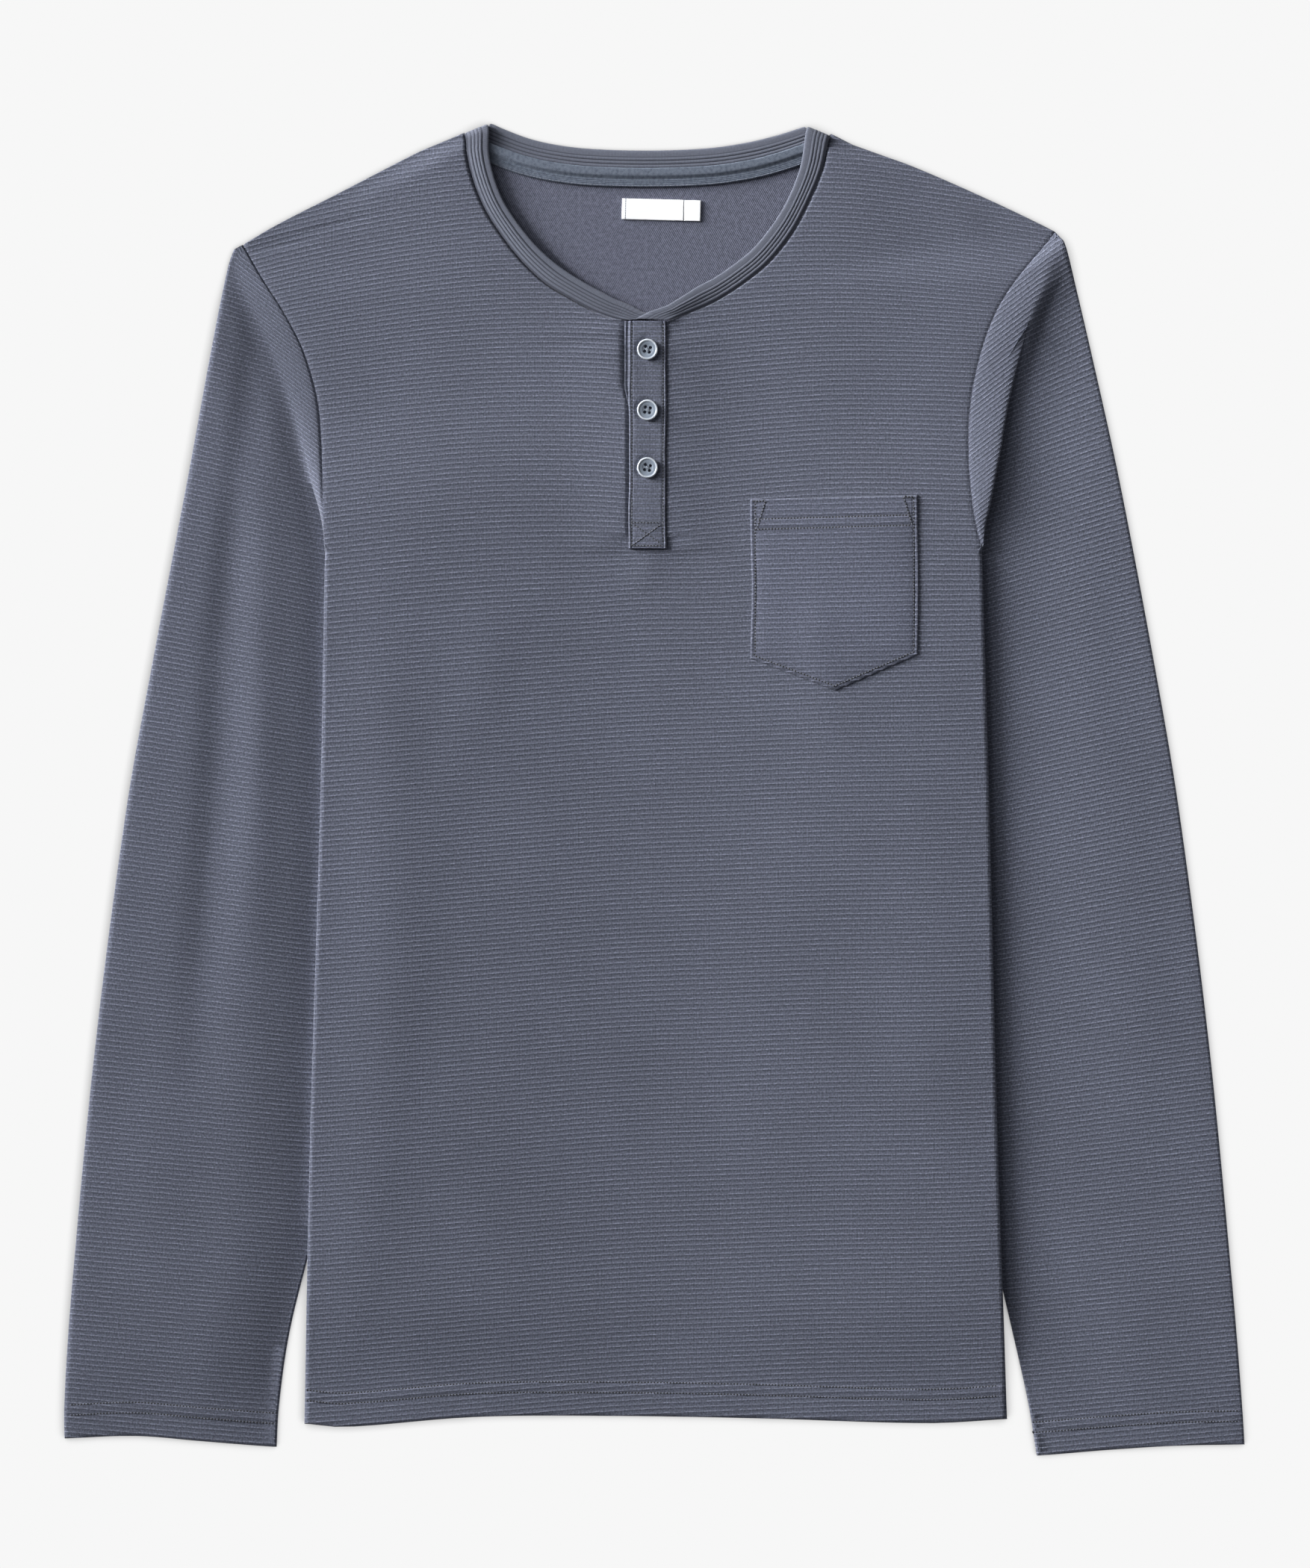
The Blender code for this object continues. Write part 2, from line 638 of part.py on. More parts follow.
def sleeve(side, finish):
    rows = [sleeve_section(side, TIP_Y[side] - 1.5)]
    rows += [sleeve_section(side, y) for y in SEAM_ROWS[side][-2::-1] + SLEEVE_ROWS]
    open_rows = [row for row in rows if len(row) == len(rows[0])]
    tube_rows = [row for row in rows if len(row) != len(rows[0])]
    joined = [open_rows[-1], tube_rows[0]]
    return wall_from("sleeve_" + side, [open_rows, joined, tube_rows], finish, flip=True)


def rib_profile(rib):
    """(share of the width, half thickness) across the neckband, from its seam to its fold."""
    profile = [(0.0, BAND_HALF)]
    for k in range(RIB_COUNT):
        low = 0.08 + 0.155 * k
        profile += [(low, BAND_HALF), (low + 0.0775, BAND_HALF + RIB_RISE * rib)]
    return profile + [(0.7, BAND_HALF), (0.92, BAND_HALF), (1.0, 0.35 * BAND_HALF)]


def band_section(station, clear=0.0):
    """The ring of points of one neckband section."""
    lean = math.radians(station.lean)
    ahead = (math.cos(lean), math.sin(lean))
    turn = math.radians(station.turn)
    push = math.sin(turn) * (1.0 if station.lean < 90 else -1.0)
    normal = (-ahead[1] * push, ahead[0] * push, math.cos(turn))
    profile = rib_profile(station.rib)
    sides = [(share, half) for share, half in profile]
    sides += [(share, -half) for share, half in reversed(profile)]
    ring = []
    for share, half in sides:
        reach = clear + share * station.width
        ring.append((
            station.x + ahead[0] * reach + normal[0] * half,
            station.y + ahead[1] * reach + normal[1] * half,
            station.mid + normal[2] * half,
        ))
    return ring


def peak_sections(peak, backwards):
    """The sections that carry the neckband round its fold at the top of a shoulder."""
    middle = 0.5 * (BAND_FRONT_MID + BAND_BACK_MID)
    radius = 0.5 * (BAND_FRONT_MID - BAND_BACK_MID)
    rings = []
    for degrees in PEAK_TURNS[::-1] if backwards else PEAK_TURNS:
        turn = math.radians(degrees)
        lean = math.radians(peak.lean)
        push = radius * math.sin(turn) * (1.0 if peak.lean < 90 else -1.0)
        moved = peak._replace(
            x=peak.x - math.sin(lean) * push,
            y=peak.y + math.cos(lean) * push,
            mid=middle + radius * math.cos(turn),
            turn=degrees,
        )
        rings.append(band_section(moved, GAP))
    return rings


def loft(name, rings, finish):
    """A closed solid through rings of equally many points, with its two ends filled."""
    mesh = bmesh.new()
    loops = [[mesh.verts.new([MM * value for value in point]) for point in ring] for ring in rings]
    for ring, following in zip(loops, loops[1:]):
        for k in range(len(ring)):
            after = (k + 1) % len(ring)
            a, b, c, d = ring[k], ring[after], following[after], following[k]
            mesh.faces.new((a, b, c))
            mesh.faces.new((a, c, d))
    for ring in (loops[0], loops[-1]):
        half = len(ring) // 2
        for k in range(half - 1):
            mesh.faces.new((ring[k], ring[k + 1], ring[-k - 2], ring[-k - 1]))
    return mesh_object(name, mesh, finish)


def neckband(finish):
    """One folded strip of rib from the placket round the neck and back, whose right-hand end
    laps over its left-hand end. It turns over at the top of each shoulder."""
    rings = [band_section(station, GAP) for station in front_neck("left")[:-1]]
    rings += peak_sections(LEFT_PEAK, backwards=False)
    rings += [band_section(station) for station in filled(BACK_BAND)]
    rings += peak_sections(RIGHT_PEAK, backwards=True)
    rings += [band_section(station, GAP) for station in front_neck("right")[-2::-1]]
    return loft("neckband", rings, finish)


def neck_tape(finish):
    """The tape over the back neck seam: its upper part lies on the neckband and its lower part
    on the inside of the back panel."""
    over_band = 2.0 * BAND_BACK_MID + GAP
    section = ((TAPE_UP, over_band), (-1.2, over_band), (-3.2, PITCH), (-TAPE_DOWN, PITCH))
    rings = []
    ends = (BACK_BAND[0], BACK_BAND[1]), (BACK_BAND[-1], BACK_BAND[-2])
    first, last = (tuple(mixed(a, b, 0.55) for a, b in zip(*pair)) for pair in ends)
    for station in filled((Station(*first),) + BACK_BAND[1:-1] + (Station(*last),)):
        lean = math.radians(station.lean)
        ring = []
        for rise, points in ((0.0, section), (TAPE_WALL, section[::-1])):
            for reach, z in points:
                ring.append((station.x + math.cos(lean) * reach, station.y + math.sin(lean) * reach, z + rise))
        rings.append(ring)
    return loft("neck_tape", rings, finish)


def laid_piece(name, xs, ys, bottom, wall, finish):
    """A flat piece whose points are those of the cloth below it, moved out. ys gives the
    heights of its points at an x."""
    grid = []
    for x in xs:
        row = []
        for y in ys(x):
            low = bottom(x, y)
            row.append(((x, y, low + wall), (x, y, low)))
        grid.append(row)
    return wall_from(name, [grid], finish)


def placket_rows(x):
    inside = [y for y in BODY_ROWS if PLACKET_END_Y + 1.0 < y < PLACKET_TOP_Y - 1.0]
    return [PLACKET_END_Y] + inside + [PLACKET_TOP_Y]


def placket(under_finish, top_finish):
    """The two strips of the placket. The button side lies below and shows at the left."""
    left = PLACKET_X - PLACKET_HALF
    right = PLACKET_X + PLACKET_HALF
    laid_piece(
        "placket_under", (left - UNDER_SHOWS, left, PLACKET_X, right - 2.0), placket_rows,
        lambda x, y: front_top(x, y) + GAP, UNDER_WALL, under_finish,
    )
    laid_piece(
        "placket_top", (left, PLACKET_X, right), placket_rows,
        lambda x, y: front_top(x, y) + 2.0 * GAP + UNDER_WALL, PLACKET_WALL, top_finish,
    )


def pocket_rows(x):
    """Heights from the pocket's pointed bottom edge up to its hem, at x."""
    across = (x - POCKET_LEFT) / (POCKET_RIGHT - POCKET_LEFT)
    top = mixed(POCKET_TOP_LEFT_Y, POCKET_TOP_RIGHT_Y, across)
    if x < POCKET_POINT_X:
        share = (x - POCKET_LEFT) / (POCKET_POINT_X - POCKET_LEFT)
        low = mixed(POCKET_BOTTOM_LEFT_Y, POCKET_POINT_Y, share)
    else:
        share = (x - POCKET_POINT_X) / (POCKET_RIGHT - POCKET_POINT_X)
        low = mixed(POCKET_POINT_Y, POCKET_BOTTOM_RIGHT_Y, share)
    return [mixed(low, top, k / 10.0) for k in range(11)]


def pocket_bottom(x, y):
    rows = pocket_rows(x)
    across = (x - POCKET_LEFT) / (POCKET_RIGHT - POCKET_LEFT)
    up = (y - rows[0]) / (rows[-1] - rows[0])
    puff = math.sin(math.pi * across) * math.sin(math.pi * up)
    return front_top(x, y) + 1.7 * GAP + POCKET_AIR * max(0.0, puff) ** 0.5


def pocket(finish):
    xs = spread((POCKET_LEFT, POCKET_POINT_X, POCKET_RIGHT), (4, 4))
    return laid_piece("pocket", xs, pocket_rows, pocket_bottom, WALL, finish)


def label_piece(name, middle, size, finish):
    """A woven tab sewn to the inside of the back panel."""
    mesh = bmesh.new()
    bmesh.ops.create_cube(mesh, size=MM)
    bmesh.ops.scale(mesh, vec=(size[0], size[1], LABEL_WALL), verts=mesh.verts)
    made = mesh_object(name, mesh, finish)
    made.location = (MM * middle[0], MM * middle[1], MM * (PITCH + 0.5 * LABEL_WALL))
    made.rotation_euler = (0.0, 0.0, LABEL_TILT)
    return made


def labels(finish):
    """The bare neck label, with a small tab beside it."""
    label_piece("label", LABEL_MIDDLE, LABEL_SIZE, finish)
    step = 0.5 * (LABEL_SIZE[0] + SIZE_TAB_WIDTH) + GAP
    beside = (LABEL_MIDDLE[0] + step * math.cos(LABEL_TILT), LABEL_MIDDLE[1] + step * math.sin(LABEL_TILT))
    label_piece("size_tab", beside, (SIZE_TAB_WIDTH, LABEL_SIZE[1]), finish)


def button(number, y, finish):
    """A turned four-hole button with a raised rim, standing on the placket."""
    profile = (
        (0.0, BUTTON_DISH), (3.9, BUTTON_DISH), (4.4, 2.2), (4.9, 2.4), (5.4, 2.15),
        (BUTTON_R, 1.3), (5.4, 0.4), (4.6, 0.0), (0.0, 0.0),
    )
    mesh = bmesh.new()
    ring = [mesh.verts.new((MM * r, 0.0, MM * z)) for r, z in profile]
    for a, b in zip(ring, ring[1:]):
        mesh.edges.new((a, b))
    made = mesh_object(f"button_{number}", mesh, finish)
    turned = made.modifiers.new("turned", "SCREW")
    turned.steps = 20
    turned.render_steps = 20
    turned.use_merge_vertices = True
    turned.merge_threshold = 0.00001
    base = front_top(PLACKET_X, y) + 3.5 * GAP + UNDER_WALL + PLACKET_WALL
    made.location = (MM * PLACKET_X, MM * y, MM * base)
    for k in range(4):
        angle = math.radians(45.0 + 90.0 * k)
        drill = bmesh.new()
        bmesh.ops.create_cone(
            drill, cap_ends=True, segments=8, radius1=MM * BUTTON_HOLE_R, radius2=MM * BUTTON_HOLE_R, depth=MM * 8.0
        )
        data = bpy.data.meshes.new(f"drill_{number}_{k}")
        drill.to_mesh(data)
        drill.free()
        cutter = bpy.data.objects.new(data.name, data)
        bpy.data.collections["cutters"].objects.link(cutter)
        cutter.hide_render = True
        cutter.display_type = "WIRE"
        cutter.location = (
            MM * (PLACKET_X + BUTTON_HOLE_OUT * math.cos(angle)),
            MM * (y + BUTTON_HOLE_OUT * math.sin(angle)),
            MM * (base + 1.0),
        )
        hole = made.modifiers.new(f"hole_{k}", "BOOLEAN")
        hole.operation = "DIFFERENCE"
        hole.object = cutter
    return made


clear_scene()
SLATE = (0.115, 0.122, 0.160)
jersey = material("rib jersey", SLATE, 0.9, 0.3)
sleeve_jersey = material("rib jersey, sleeve", SLATE, 0.9, 0.3)
inside_jersey = material("rib jersey, back panel", (0.120, 0.127, 0.165), 0.9, 0.3)
rib_knit = material("folded rib band", (0.110, 0.118, 0.155), 0.9, 0.3)
twill_tape = material("cotton neck tape", (0.125, 0.140, 0.180), 0.85, 0.1)
strip_jersey = material("rib jersey, placket", (0.125, 0.132, 0.170), 0.9, 0.3)
pocket_jersey = material("rib jersey, pocket", SLATE, 0.9, 0.3)
woven_white = material("woven polyester label", (0.72, 0.73, 0.74), 0.7)
resin = material("cast polyester resin", (0.42, 0.46, 0.50), 0.25)

front_panel(jersey)
back_panel(inside_jersey)
for side_name in SIDES:
    sleeve(side_name, sleeve_jersey)
neckband(rib_knit)
neck_tape(twill_tape)
placket(strip_jersey, strip_jersey)
pocket(pocket_jersey)
labels(woven_white)
for position, button_y in enumerate(BUTTON_Y, 1):
    button(position, button_y, resin)
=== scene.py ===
"""The looks of a long-sleeved henley shirt in rib jersey, laid out flat, face up.

Sizes are in millimetres, in the same frame as the CAD, and become metres where a mesh is made.
A distance called "out" is measured from the middle line towards either side, and a "rib" value
is the height at which a rib line crosses the middle line, or on a sleeve the body's edge.
"""

import math
from collections import namedtuple

import bmesh
import bpy
import numpy as np
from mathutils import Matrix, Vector
from mathutils.bvhtree import BVHTree


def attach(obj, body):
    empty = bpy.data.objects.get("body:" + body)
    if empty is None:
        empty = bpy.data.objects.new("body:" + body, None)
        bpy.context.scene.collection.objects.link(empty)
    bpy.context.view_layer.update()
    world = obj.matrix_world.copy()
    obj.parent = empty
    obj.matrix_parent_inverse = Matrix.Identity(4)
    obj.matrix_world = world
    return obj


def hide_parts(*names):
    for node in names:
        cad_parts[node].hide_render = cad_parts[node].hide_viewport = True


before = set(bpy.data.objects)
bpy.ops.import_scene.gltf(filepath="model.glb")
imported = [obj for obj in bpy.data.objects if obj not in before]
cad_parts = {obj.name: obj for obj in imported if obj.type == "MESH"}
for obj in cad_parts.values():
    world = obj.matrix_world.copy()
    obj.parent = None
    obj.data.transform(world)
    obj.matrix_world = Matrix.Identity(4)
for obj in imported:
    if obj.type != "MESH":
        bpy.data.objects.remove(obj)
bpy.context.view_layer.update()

# ------------------------------------------------------------------ camera, light and floor
# A camera straight above, and studio light: a broad soft key low at the left, a weaker panel
# beyond the neck, and a little light from all round. The floor is a bright sheet of paper.
MM = 0.001
VIEW_MIDDLE = (0.2, 2.7)
VIEW_LENGTH = 861.0
CAMERA_UP = 2600.0
SENSOR = 36.0
KEY_HEIGHT = math.radians(13.0)
KEY_TURN = math.radians(28.0)
KEY_AWAY = 8.0
KEY_SIZE = (8.0, 2.3)
KEY_POWER = 94.0
# The key is turned this far up past the shirt, so that the hem gets a sixth less of it.
KEY_FEATHER = math.radians(73.0)
WASH_HEIGHT = math.radians(38.0)
WASH_TURN = math.radians(40.0)
WASH_SPREAD = math.radians(30.0)
WASH_POWER = 0.70
ROOM_POWER = 0.185

scene = bpy.context.scene
scene.view_settings.view_transform = "Standard"


def placed(name, data):
    """A new object in the scene."""
    made = bpy.data.objects.new(name, data)
    scene.collection.objects.link(made)
    return made


def linear(code):
    """The linear colour of an sRGB hex value."""
    values = [int(code[k:k + 2], 16) / 255.0 for k in (0, 2, 4)]
    return tuple(v / 12.92 if v < 0.04045 else ((v + 0.055) / 1.055) ** 2.4 for v in values) + (1.0,)


def add(tree, kind, links, **settings):
    """Adds a node with its settings, and gives its inputs values or links from other nodes."""
    node = tree.nodes.new("ShaderNode" + kind)
    for name, value in settings.items():
        setattr(node, name, value)
    for name, source in links.items():
        if isinstance(source, bpy.types.NodeSocket):
            tree.links.new(source, node.inputs[name])
        else:
            node.inputs[name].default_value = source
    return node


def ramp(tree, level, dark, pale, low=0.0, high=1.0):
    """A colour that goes from dark to pale while the level goes from low to high."""
    node = add(tree, "ValToRGB", {"Fac": level})
    for stop, position, colour in zip(node.color_ramp.elements, (low, high), (dark, pale)):
        stop.position = position
        stop.color = colour
    return node.outputs["Color"]


camera_data = bpy.data.cameras.new("camera")
camera_data.sensor_fit = "VERTICAL"
camera_data.sensor_height = SENSOR
camera_data.lens = SENSOR * CAMERA_UP / VIEW_LENGTH
camera = placed("camera", camera_data)
camera.location = (MM * VIEW_MIDDLE[0], MM * VIEW_MIDDLE[1], MM * (CAMERA_UP + 4.0))
scene.camera = camera

key_data = bpy.data.lights.new("key", "AREA")
key_data.shape = "RECTANGLE"
key_data.size, key_data.size_y = KEY_SIZE
key_data.energy = KEY_POWER
key_data.use_nodes = True
key_tree = key_data.node_tree
level = add(key_tree, "LightFalloff", {"Strength": 1.0})
key_tree.links.new(level.outputs["Constant"], key_tree.nodes["Emission"].inputs["Strength"])
key = placed("key", key_data)
level_way = Vector((-math.cos(KEY_TURN), math.sin(KEY_TURN), 0.0))
towards = level_way * math.cos(KEY_HEIGHT) + Vector((0.0, 0.0, math.sin(KEY_HEIGHT)))
beside = Vector((0.0, 1.0, 0.0)) - towards.y * towards
aim = beside.normalized() * math.sin(KEY_FEATHER) - towards * math.cos(KEY_FEATHER)
key.location = towards * KEY_AWAY
key.rotation_euler = aim.to_track_quat("-Z", "Y").to_euler()

wash_data = bpy.data.lights.new("wash", "SUN")
wash_data.energy = WASH_POWER
wash_data.angle = WASH_SPREAD
placed("wash", wash_data).rotation_euler = (0.0, WASH_HEIGHT - 0.5 * math.pi, -WASH_TURN)

world = bpy.data.worlds.new("studio")
world.use_nodes = True
world.node_tree.nodes["Background"].inputs["Color"].default_value = linear("f4f6fb")
world.node_tree.nodes["Background"].inputs["Strength"].default_value = ROOM_POWER
scene.world = world

# Backlit white paper: it stays even and bright, and a painted contact shadow darkens it a little where the
# cloth touches it.
FLOOR_HALF = 3000.0
CONTACT_REACH = 7.0
paper = bpy.data.materials.new("backlit white paper")
paper.use_nodes = True
tree = paper.node_tree
tree.nodes.remove(tree.nodes["Principled BSDF"])
near = add(tree, "AmbientOcclusion", {"Distance": MM * CONTACT_REACH}, samples=16)
tone_with_contact_shade = ramp(tree, near.outputs["AO"], linear("989899"), linear("f7f7f7"), 0.30, 0.92)
glow = add(tree, "Emission", {"Color": tone_with_contact_shade})
tree.links.new(glow.outputs["Emission"], tree.nodes["Material Output"].inputs["Surface"])
floor_mesh = bpy.data.meshes.new("floor")
reach = MM * FLOOR_HALF
corners = [(-reach, -reach, 0.0), (reach, -reach, 0.0), (reach, reach, 0.0), (-reach, reach, 0.0)]
floor_mesh.from_pydata(corners, [], [(0, 1, 2, 3)])
floor_mesh.materials.append(paper)
floor = placed("floor", floor_mesh)

# ------------------------------------------------------------------ front panel
# One piece of midweight cotton-polyester jersey with a raised rib every 2.7 mm, cut on the
# fold. Its sides are turned under the body, its hem is turned up and held by a twin needle.
SIDES = ("left", "right")
SIGN = {"left": -1.0, "right": 1.0}
WALL = 1.0
GAP = 0.3
PITCH = WALL + GAP
SEAM_OUT = 101.0
UNDERARM_Y = 76.5
FOLD_TOP_Y = 134.0
FOLD_FULL_Y = 127.0
HIDDEN_BOW = 0.6
PLACKET_X = -3.9
PLACKET_TOP_Y = 256.8
PLACKET_END_Y = 131.8
SLIT_HALF = 8.5
NECK_AIR = 2.1
TIP_Y = {"left": 299.0, "right": 306.0}
FRONT_OUTER_R = 2.0 * WALL + 1.5 * GAP
FRONT_INNER_R = WALL + 1.5 * GAP
BACK_OUTER_R = WALL + 0.5 * GAP
BACK_INNER_R = 0.5 * GAP

# Each outline by (height, how far out at the left, how far out at the right).
BODY_EDGE = ((135.0, 180.8, 179.5), (0.0, 183.3, 183.5), (-190.0, 189.0, 188.2), (-350.0, 192.4, 193.7))
ARMHOLE = (
    (306.0, 230.5, 220.0), (299.0, 226.3, 214.6), (280.0, 215.3, 198.8), (262.0, 203.8, 187.4),
    (240.0, 192.7, 179.2), (212.0, 184.9, 173.3), (180.0, 182.5, 172.3), (150.0, 181.8, 175.2),
    (134.0, 180.9, 178.7),
)
SHOULDER = (
    (360.0, 106.2, 97.3), (356.0, 115.0, 104.2), (351.0, 127.5, 116.5), (343.0, 143.5, 139.5),
    (327.0, 174.3, 176.6), (310.0, 207.6, 212.6), (299.0, 226.3, 233.0),
)
SLEEVE_INNER = (
    (76.5, 101.0, 101.0), (-100.0, 148.8, 146.5), (-260.0, 191.2, 187.4), (-300.0, 200.9, 197.0),
    (-338.0, 206.3, 205.4), (-366.0, 207.9, 209.9),
)
HEM_LINE = (
    (-192.0, -348.5), (-170.0, -350.3), (-98.0, -344.8), (-18.0, -344.4),
    (63.0, -345.8), (150.0, -348.2), (193.0, -346.0),
)


def eased(t):
    """Runs from 0 to 1, level at both ends."""
    t = np.clip(t, 0.0, 1.0)
    return t * t * (3.0 - 2.0 * t)


def mixed(a, b, t):
    return a + (b - a) * t


def bell(off, width):
    return np.exp(-((off / width) ** 2))


def curve_through(knots, at):
    """The heights at "at" of a smooth curve through (position, height) knots in rising order."""
    place, height = np.array(knots, float).T
    at = np.asarray(at, float)
    i = np.clip(np.searchsorted(place, at, side="right") - 1, 0, len(place) - 2)
    before = np.maximum(i - 1, 0)
    after = np.minimum(i + 2, len(place) - 1)
    span = place[i + 1] - place[i]
    t = np.clip((at - place[i]) / span, 0.0, 1.0)
    slope0 = span * (height[i + 1] - height[before]) / (place[i + 1] - place[before])
    slope1 = span * (height[after] - height[i]) / (place[after] - place[i])
    rise = height[i + 1] - height[i]
    return height[i] + rise * t + t * (1.0 - t) * ((1.0 - t) * (slope0 - rise) - t * (slope1 - rise))


def outline(table, side, y):
    """How far out a table's outline lies at a height."""
    column = 1 + SIDES.index(side)
    return curve_through([(row[0], row[column]) for row in reversed(table)], y)


def hidden_armhole(side, y):
    """The armhole seam after it has turned under the body, down to the underarm."""
    share = np.clip((y - UNDERARM_Y) / (FOLD_TOP_Y - UNDERARM_Y), 0.0, 1.0)
    return mixed(SEAM_OUT, outline(BODY_EDGE, side, FOLD_TOP_Y), share ** HIDDEN_BOW)


def hidden_armhole_y(out):
    share = np.clip((out - SEAM_OUT) / (180.0 - SEAM_OUT), 0.0, 1.0)
    return mixed(UNDERARM_Y, FOLD_TOP_Y, share ** (1.0 / HIDDEN_BOW))


def panel_edge(side, y):
    return np.where(y <= TIP_Y[side], outline(ARMHOLE, side, y), outline(SHOULDER, side, y))


def front_edge(side, y):
    return np.where(y > FOLD_TOP_Y, panel_edge(side, y), outline(BODY_EDGE, side, y) - FRONT_OUTER_R)


def lift(side, out, y):
    """The height of the back panel's underside, which rides over the turned-under margins and
    the hidden parts of the sleeves, and lies on the surface in the middle."""
    above = 1.0 - eased((y - hidden_armhole_y(out) - 8.0) / 80.0)
    over_margin = eased((out - 34.0) / 60.0)
    inner = np.where(y < UNDERARM_Y, outline(SLEEVE_INNER, side, y), SEAM_OUT)
    over_sleeve = eased((out - inner + 62.0) / 54.0) * eased((y + 340.0) / 60.0)
    return 2.0 * PITCH * above * (over_margin + over_sleeve)


# Soft folds of the laid cloth: a path from its top down, how wide each flank is, how much it
# stands up or, with a minus, sinks.
Fold = namedtuple("Fold", "path left right rise")
FRONT_FOLDS = (
    Fold(((-148, 150), (-148, 20), (-146, -110), (-160, -230), (-188, -345)), 30.0, 30.0, 1.5),
    Fold(((-60, 60), (-48, -150), (-40, -340)), 40.0, 50.0, 0.25),
    Fold(((72, 30), (62, -140), (48, -300)), 34.0, 30.0, 0.25),
    Fold(((118, 45), (112, -100), (92, -260)), 26.0, 34.0, -0.3),
    Fold(((150, 40), (152, -150), (146, -320)), 30.0, 30.0, 0.3),
    Fold(((-150, 300), (-120, 235), (-60, 165)), 40.0, 46.0, 0.3),
    Fold(((120, 312), (96, 235), (70, 178)), 36.0, 40.0, 0.2),
    Fold(((158, 334), (170, 310), (184, 290)), 26.0, 20.0, 1.2),
    Fold(((-3.9, 133), (-3.9, 122), (-5, 108)), 13.0, 13.0, 0.8),
    Fold(((-30, 258), (-24, 215), (-22, 160)), 12.0, 9.0, -0.5),
)
# The light falls so low that little of each fold is needed.
FOLD_SHARE = 0.55


def folded(folds, x, y):
    """How much soft folds lift the cloth at a place."""
    total = np.zeros(np.shape(x))
    for fold in folds:
        path = [(p[1], p[0]) for p in reversed(fold.path)]
        share = np.clip((y - path[0][0]) / (path[-1][0] - path[0][0]), 0.0, 1.0)
        off = x - curve_through(path, y)
        off = np.clip(np.where(off < 0.0, off / fold.left, off / fold.right), -1.0, 1.0)
        total += FOLD_SHARE * fold.rise * np.sin(math.pi * share) ** 0.7 * np.cos(0.5 * math.pi * off) ** 2
    return total


# Fine creases where the cloth is drawn towards the shoulder tip and the top of the placket: the
# line each follows, its half width and how much it stands up or sinks.
FRONT_CREASES = (
    ((-227.0, 294.2), (-183.0, 303.0), 1.9, -0.42),
    ((-224.0, 297.0), (-156.0, 315.0), 2.0, -0.34),
    ((-14.0, 252.6), (-54.0, 251.0), 2.0, 0.30),
    ((-14.0, 247.2), (-62.0, 243.0), 2.0, -0.36),
    ((-14.0, 240.5), (-50.0, 236.5), 2.4, 0.26),
    ((8.0, 250.0), (40.0, 254.0), 2.2, -0.26),
)


def creased(x, y):
    total = np.zeros(np.shape(x))
    for (x0, y0), (x1, y1), width, rise in FRONT_CREASES:
        long_x, long_y = x1 - x0, y1 - y0
        length = math.hypot(long_x, long_y)
        along = ((x - x0) * long_x + (y - y0) * long_y) / length
        off = ((y - y0) * long_x - (x - x0) * long_y) / length
        share = np.clip(along / length, 0.0, 1.0)
        total += rise * bell(off, width) * np.sin(math.pi * share) ** 0.5
    return total


# How much the sleeve cloth that doubles up along each armhole lifts the front panel, and how
# high the panel rides over the surface along its middle, above its own thickness.
DOUBLED = {"left": 1.2, "right": 2.0 * PITCH}
MIDDLE = (
    (-362.0, 1.5), (-320.0, 2.3), (-220.0, 3.1), (-60.0, 3.4), (60.0, 3.2), (140.0, 2.7), (220.0, 2.1),
    (330.0, 1.9),
)


def front_folds(side, out, y):
    edge, x = front_edge(side, y), SIGN[side] * out
    soft = eased((edge - out) / 30.0) * folded(FRONT_FOLDS, x, y)
    return soft + (y > FOLD_TOP_Y) * eased((edge - out) / 6.0) * creased(x, y)


def resting_air(side, out, y):
    """The air that lies under the front panel where something is beneath it: at the neckband,
    and where the sleeve cloth doubles up along the armholes."""
    edge = panel_edge(side, np.maximum(y, FOLD_TOP_Y))
    from_neck = np.hypot((SIGN[side] * out + 4.0) / 104.0, (y - 352.0) / 96.0)
    at_shoulder = np.where(y > TIP_Y[side] - 20.0, eased((edge - out) / 26.0), 1.0)
    neck = NECK_AIR * (1.0 - eased((from_neck - 1.06) / 0.8)) * at_shoulder

    def doubled(armhole, at_y, fading):
        beside = eased((out - armhole + 62.0) / 56.0) * fading
        return DOUBLED[side] * beside * (1.0 - lift(side, out, at_y) / (4.0 * PITCH))

    high = neck + doubled(edge, y, eased((TIP_Y[side] - y) / 30.0))
    armhole = panel_edge(side, FOLD_TOP_Y + 0.01)
    joined = eased((y - FOLD_FULL_Y + 30.0) / 37.0)
    low = joined * doubled(armhole, FOLD_TOP_Y, eased((armhole - out) / 14.0))
    return np.where(y > FOLD_TOP_Y, high, low)


def front_air(side, out, y):
    """All the air under the front panel, which spans from edge to edge over the lower middle."""
    edge, resting = front_edge(side, y), resting_air(side, out, y)
    at_edge = lift(side, edge, y) + resting_air(side, edge, y)
    outward = (out - 4.0) / (np.minimum(edge, 142.0) - 4.0)
    above = mixed(curve_through(MIDDLE, y), at_edge, eased(outward)) - lift(side, out, y) - resting
    blend = 0.5 * eased((edge - out) / 24.0)
    above = 0.5 * (above + np.sqrt(above ** 2 + blend ** 2))
    return resting + above * (blend > 0.0) + front_folds(side, out, y)


def front_top(x, y):
    """The height of the front panel's face, without its ribs."""
    out = np.abs(x)
    left, right = (lift(side, out, y) + front_air(side, out, y) for side in SIDES)
    return np.where(x < 0.0, left, right) + PITCH + WALL


# The raised ribs of the cloth: where across one rib its rows of points lie, and how high.
RIB_PITCH = 2.7
RIB_PHASES = (0.0, 0.14, 0.5, 0.86)
RIB_HEIGHTS = (0.19, 0.05, 0.0, 0.05)
RIB_TOP = RIB_HEIGHTS[0]


